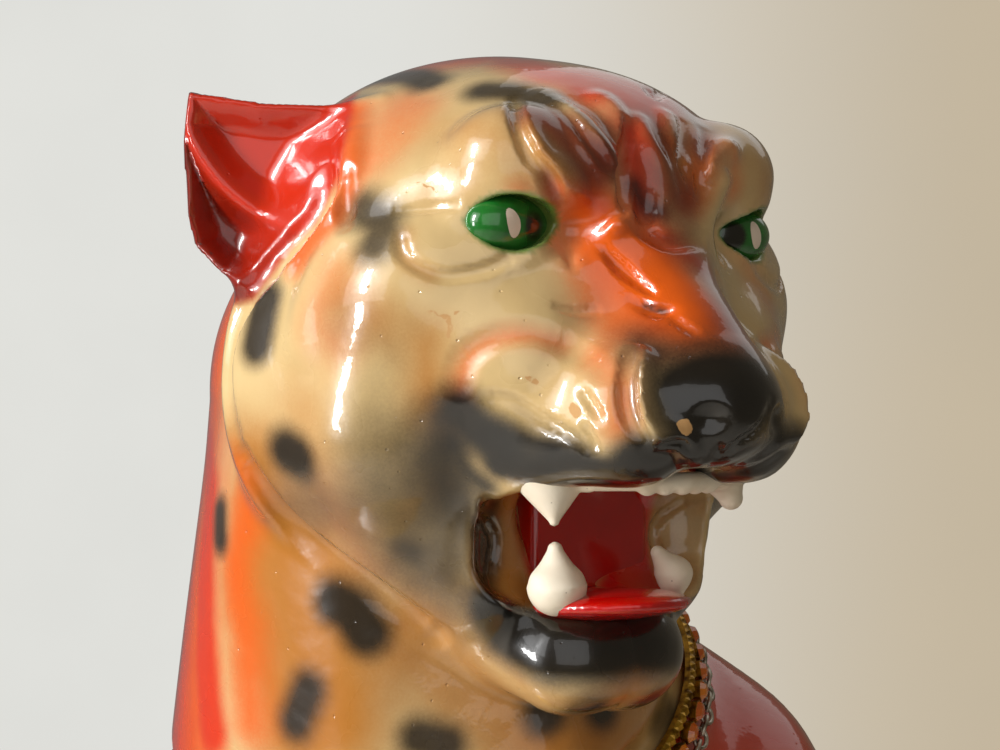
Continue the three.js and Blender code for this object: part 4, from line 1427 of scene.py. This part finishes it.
def metalMaterial(name):
    metal = metals[name]
    material, tree, shader = newMaterial(name)
    cloud = noise(tree, objectPlace(tree), 300, 4)
    # Lit and shaded copies of the metal mixed by noise, as painted light and shade
    tint = blend(tree, ramp(tree, cloud, 0.35, 0.62), metal["dark"], metal["bright"])
    spread = ramp(tree, cloud, 0, 1, metal["rough"] + 0.2, metal["rough"])
    looks = {"Base Color": tint, "Roughness": spread, "Normal": bump(tree, cloud, 0.4, 0.0002)}
    setInputs(tree, shader, {**looks, "Metallic": 1})
    return material


stoneTints = (color(206, 62, 6), color(255, 156, 36))


def stoneMaterial():
    material, tree, shader = newMaterial("cutStone")
    place = objectPlace(tree)
    tint = blend(tree, cells(tree, place, 190, "Color"), *stoneTints)
    looks = {"Base Color": tint, "Normal": bump(tree, noise(tree, place, 600, 2), 0.1, 0.0001)}
    setInputs(tree, shader, {**looks, "Roughness": 0.06, "Transmission Weight": 0.1, "Coat Weight": 1})
    return material


def flatShaded(obj):
    obj.data.polygons.foreach_set("use_smooth", np.zeros(len(obj.data.polygons), bool))


def makeCollar():
    gold, silver = metalMaterial("oldGold"), metalMaterial("oldSilver")
    links = []
    for number, angle in enumerate(strandAngles(chain["count"])):
        links.append(linkMesh(angle, chain["tilt"] if number % 2 else -chain["tilt"]))
    pieces = [
        ("collarStrip", stripMesh(), gold, "collar_strip", "gold_plate"),
        ("stoneCups", stoneMeshes(stones["cup"]), gold, "stone_row", "gold_plate"),
        ("cutStones", stoneMeshes(stones["cut"]), stoneMaterial(), "stone_row", "cut_stone"),
        ("chainLinks", gatherMeshes(links), silver, "collar_chain", "silver_plate"),
    ]
    for name, (points, faces), material, node, slotName in pieces:
        obj = meshObject(name, points, faces, collarFrame)
        if name != "chainLinks":
            flatShaded(obj)
        obj.data.materials.append(material)
        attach(obj, "collar")
        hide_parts(node)
    for name in ("end_bar_left", "end_bar_right", "clasp_plate", "clasp_lever"):
        frame["nodes"][name].data.materials[0] = gold
    frame["nodes"]["clasp_pin"].data.materials[0] = silver
    print("collar made")


makeCollar()

# Felt pads: the solids' own, in green felt

feltTints = (color(22, 40, 28), color(60, 92, 66))


def feltMaterial():
    material, tree, shader = newMaterial("greenFelt")
    fibres = noise(tree, objectPlace(tree), 700, 5, 2)
    looks = {"Base Color": blend(tree, fibres, *feltTints), "Normal": bump(tree, fibres, 0.8, 0.0004)}
    setInputs(tree, shader, {**looks, "Roughness": 0.95, "Sheen Weight": 0.4})
    return material


felt = feltMaterial()
for name in ("front_left", "front_right", "rear_left", "rear_right"):
    frame["nodes"]["felt_pad_" + name].data.materials[0] = felt

# Body: chest, back, haunches, forelegs, hind feet and tail as one skin, split where the castings meet

trunk = joined([
    (limb([0, -15, 464], [0, -30, 380], 72, 84), 1),  # neck
    (egg([0, -42, 338], [88, 78, 104]), 40),  # chest
    (pair(egg([60, -36, 335], [44, 54, 76])), 30),  # shoulders
    (pair(egg([52, 16, 382], [58, 64, 88])), 24),  # shoulder blades
    (limb([0, 4, 385], [0, 78, 225], 78, 98), 40),  # back
    (egg([0, 12, 190], [64, 56, 92]), 30),  # belly
    (egg([0, 104, 104], [104, 98, 136]), 40),  # rump
    (pair(egg([86, 66, 108], [48, 96, 116])), 24),  # haunches
    (pair(egg([102, -6, 80], [32, 44, 62])), 22),  # knees
    (pair(limb([110, 44, 18], [110, -40, 16], 26, 23)), 16),  # hind feet
    (pair(egg([110, -50, 14], [29, 31, 28])), 10),  # hind toes
    (pair(limb([56, -60, 305], [54, -82, 240], 46, 39)), 20),  # tops of the forelegs
])
foreleg = pair(joined([
    (limb([54, -82, 250], [54, -96, 150], 38, 31), 1),
    (limb([54, -96, 150], [54, -110, 56], 31, 28), 8),
    (egg([54, -128, 18], [34, 43, 34]), 14),
]))
tailPoints = [
    (0, 150, 72),
    (14, 198, 40),
    (66, 222, 23),
    (130, 198, 21),
    (172, 124, 20),
    (180, 42, 20),
    (170, -34, 20),
    (156, -74, 24),
]


# The tail gets thinner along its length, and its tip is rounded off
def tailForm():
    path = smoothed(tailPoints, 5)
    t = np.linspace(0, 1, len(path))
    return stroke(path, 23 - 5 * t - 150 * np.maximum(0, t - 0.94))


tail = tailForm()

# Under the collar the neck's plain cone spreads into the trunk, which ends there in a rounded edge
neckRoot = {
    "trunkEnd": -20,
    "edge": 14,
    "spreadFrom": -26,
    "spread": 0.011,
    "fillet": 16,
    "plainAbove": (10, 20),
    "plainWithin": (4, 16),
}


def trunkField(p):
    along, cone = neckPlace(p)
    underCollar = -join(-trunk(p), neckRoot["trunkEnd"] - along, neckRoot["edge"])
    spread = np.maximum(0, neckRoot["spreadFrom"] - along) ** 2 * neckRoot["spread"]
    whole = join(underCollar, cone + spread, neckRoot["fillet"])
    below, outside = ease(-along, *neckRoot["plainAbove"]), ease(cone, *neckRoot["plainWithin"])
    return cone + (whole - cone) * np.maximum(below, outside)


def toeCreases(middleX, front, across):
    creases = []
    for offset in (-across, 0, across):
        x = middleX + offset * 15
        line = [(x, front + 20, 42), (x, front, 30), (x, front - 2, 14), (x, front + 4, 0)]
        creases.append(stroke(line, [3.4] * len(line)))
    return creases


toes = [pair(form) for form in toeCreases(54, -168, 1) + toeCreases(110, -80, 0.85)]


def bodySkinField(p):
    along, _ = neckPlace(p)
    d = join(join(trunkField(p), foreleg(p), 10), tail(p), 8)
    for form in toes:
        d = -join(-d, form(p), 4)
    return np.maximum(np.maximum(d, along + 0.15), 2 - p[:, 2])


bodyRed = [
    ((0, 110, 330), (110, 110, 190), 0.95),
    ((0, 190, 120), (130, 90, 150), 0.95),
    ((110, 200, 30), (120, 60, 30), 0.9),
]
bodyRed += bothSides([((90, 40, 340), (60, 70, 90), 0.9), ((66, 6, 440), (60, 60, 70), 0.95)])
bodyOrange = [
    ((0, 90, 250), (160, 130, 260), 1),
    ((0, 60, 440), (110, 60, 60), 0.9),
    ((170, 60, 20), (60, 160, 40), 0.9),
]
bodyOrange += bothSides([((120, 60, 110), (80, 120, 120), 0.95)])
bodyOchre = bothSides([((70, -60, 380), (50, 60, 90), 0.6), ((60, -100, 160), (34, 30, 120), 0.45)])


# Spots go round the body in staggered rows and leave the chest's middle clear
spots = {
    "rows": 10,
    "around": 12,
    "lowest": 50,
    "apart": 40,
    "clearFront": -0.72,
    "size": (12, 17),
    "strength": 0.92,
}


def bodySpots():
    placed = []
    random = np.random.default_rng(7)
    for row in range(spots["rows"]):
        height = spots["lowest"] + row * spots["apart"]
        for step in range(spots["around"]):
            degrees = -60 + 360 / spots["around"] * (step + 0.5 * (row % 2))
            angle = math.radians(degrees) + random.uniform(-0.12, 0.12)
            if math.sin(angle) < spots["clearFront"]:
                continue
            size = random.uniform(*spots["size"])
            placed.append((angle, height + random.uniform(-9, 9), size))
    return placed


# The spots' places are angles round a line that leans with the chest and stands in the rump below it
spotLine = {"from": 250, "top": 400, "lean": 0.3, "front": -20, "rump": 60.0, "farthest": 110}


def bodySpotMask(p):
    clear = np.ones(len(p))
    leaning = (spotLine["top"] - p[:, 2]) * spotLine["lean"] + spotLine["front"]
    middle = np.where(p[:, 2] > spotLine["from"], leaning, spotLine["rump"])
    around = np.arctan2(p[:, 1] - middle, p[:, 0])
    out = np.minimum(np.hypot(p[:, 0], p[:, 1] - middle), spotLine["farthest"])
    for angle, height, size in bodySpots():
        turn = (around - angle + math.pi) % (2 * math.pi) - math.pi
        apart = np.hypot(turn * out * 0.9, (p[:, 2] - height) * 0.8)
        clear *= 1 - spots["strength"] * (1 - ease(apart, size * 0.35, size * 1.1))
    return 1 - clear


def legSpots():
    patches = []
    for row in range(7):
        middle = (54 + 32 * (-1) ** row, -112 + 10 * (row % 3), 50 + 26 * row)
        patches.append((middle, (12, 22, 11), 0.9))
    return bothSides(patches)


def clawPatches():
    return bothSides([((54 + 15 * step, -170, 8), (6, 10, 9), 0.9) for step in (-1.6, -0.5, 0.5, 1.6)])


def bodyMasks(p):
    return {
        "red": sprayed(p, bodyRed),
        "orange": sprayed(p, bodyOrange),
        "ochre": sprayed(p, bodyOchre),
        "smoke": np.maximum(bodySpotMask(p), sprayed(p, legSpots())),
        "black": sprayed(p, clawPatches()),
    }


bodyLayers = ("ochre", "orange", "red", "smoke", "black")
bodySkin = {"low": (-175, -190, -6), "high": (212, 262, 520), "spacing": 2.8, "quickSpacing": 6}

# The forelegs end where they meet the chest: how far forward, how high and how far out they go
legLimits = {"back": -48, "top": 232, "out": 106}


def makeBody():
    spacing = bodySkin["spacing"]
    points, faces = fieldSkin(bodySkinField, bodySkin["low"], bodySkin["high"], spacing)
    print("body points", len(points))
    x, y, z = points.T
    trunkNear = trunkField(points)
    within = (y < legLimits["back"]) & (z < legLimits["top"]) & (np.abs(x) < legLimits["out"])
    isLeg = within & (foreleg(points) < trunkNear - 0.5)
    isTail = tail(points) < np.minimum(trunkNear, foreleg(points)) - 0.01
    owner = np.where(isLeg, np.where(x > 0, 1, 2), 0)
    owner = np.where(isTail, 3, owner)
    names = ["bodySkin", "forelegLeft", "forelegRight", "tailSkin"]
    nodes = ["torso", "foreleg_left", "foreleg_right", "tail"]
    pieces = splitSkin(points, faces, owner, names, bodyFrame, bodySkinField, bodyMasks(points))
    glaze = glazeMaterial("bodyGlaze", bodyLayers, chips=False)
    for name, node in zip(names, nodes):
        pieces[name].data.materials.append(glaze)
        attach(pieces[name], "figure")
        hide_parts(node)


makeBody()

# Plain floor that fades into a plain wall color, and soft studio light

stage = {
    "wallLeft": color(226, 226, 221),
    # The right wall's darker beige is painted shade
    "wallRight": color(196, 182, 158),
    "wallTurns": (-0.47, -0.16),
    "wallLight": 0.22,
    "floor": color(206, 200, 188),
    "floorHalf": 1300,
    "fade": (0.7, 1.2),
}
lamps = [
    {"name": "windowHigh", "place": (-0.64, -0.98, 0.98), "size": (0.17, 0.48), "energy": 11},
    {"name": "windowLow", "place": (-0.64, -0.98, 0.46), "size": (0.14, 0.26), "energy": 3.5},
    {"name": "ceiling", "place": (0.1, 1.0, 1.6), "size": (1.2, 1.2), "energy": 2.4},
    {"name": "room", "place": (-0.9, -1.4, 1.2), "size": (1.3, 1.3), "energy": 8.5},
    {"name": "fill", "place": (0.7, -1.3, 0.9), "size": (1.4, 1.4), "energy": 4},
]


def scaled(tree, paint, share):
    return addNode(tree, "ShaderNodeVectorMath", {0: paint, 3: share}, operation="SCALE").outputs[0]


# The wall's color turns from a cool grey on the left to a darker warm beige on the right, which is
# painted shade on the wall; it lights the figure less than the camera sees it
def makeWorld():
    world = bpy.data.worlds.new("studio")
    bpy.context.scene.world = world
    world.use_nodes = True
    tree = world.node_tree
    shader = tree.nodes["Background"]
    way = addNode(tree, "ShaderNodeTexCoord").outputs["Generated"]
    sideways = addNode(tree, "ShaderNodeSeparateXYZ", {0: way}).outputs[0]
    cloud = noise(tree, way, 9, 5)
    ragged = calculated(tree, "MULTIPLY_ADD", cloud, 0.05, sideways)
    wall = blend(
        tree,
        ramp(tree, ragged, *stage["wallTurns"], curve="SMOOTHSTEP"),
        stage["wallLeft"],
        stage["wallRight"],
    )
    seen = scaled(tree, wall, ramp(tree, cloud, 0.3, 0.7, 0.955, 1))
    dim = scaled(tree, wall, stage["wallLight"])
    camera = addNode(tree, "ShaderNodeLightPath").outputs["Is Camera Ray"]
    setInputs(tree, shader, {"Color": blend(tree, camera, dim, seen)})


def floorMaterial():
    material, tree, shader = newMaterial("floorPaint")
    place = objectPlace(tree)
    tint = blend(tree, noise(tree, place, 3, 5), darker(stage["floor"], 0.93), stage["floor"])
    setInputs(tree, shader, {"Base Color": tint, "Roughness": 0.9})
    far = addNode(tree, "ShaderNodeVectorMath", {0: place}, operation="LENGTH").outputs["Value"]
    fade = ramp(tree, far, *stage["fade"], curve="SMOOTHSTEP")
    clear = addNode(tree, "ShaderNodeBsdfTransparent").outputs[0]
    mix = addNode(tree, "ShaderNodeMixShader", {0: fade, 1: shader.outputs[0], 2: clear}).outputs[0]
    setInputs(tree, tree.nodes["Material Output"], {"Surface": mix})
    return material


def makeStage():
    bpy.context.scene.view_settings.view_transform = "Standard"
    makeWorld()
    half = stage["floorHalf"]
    corners = [(-half, -half, 0), (half, -half, 0), (half, half, 0), (-half, half, 0)]
    floor = meshObject("floor", corners, [(0, 1, 2, 3)], bodyFrame)
    floor.data.materials.append(floorMaterial())
    aim = headFrame @ Vector((0, 0, -40))
    for lamp in lamps:
        light = bpy.data.lights.new(lamp["name"], "AREA")
        light.energy = lamp["energy"]
        light.shape = "RECTANGLE"
        light.size, light.size_y = lamp["size"]
        obj = bpy.data.objects.new(lamp["name"], light)
        place = Vector(lamp["place"])
        turned = (place - aim).to_track_quat("Z", "Y").to_matrix().to_4x4()
        obj.matrix_world = Matrix.Translation(place) @ turned
        bpy.context.collection.objects.link(obj)


makeStage()
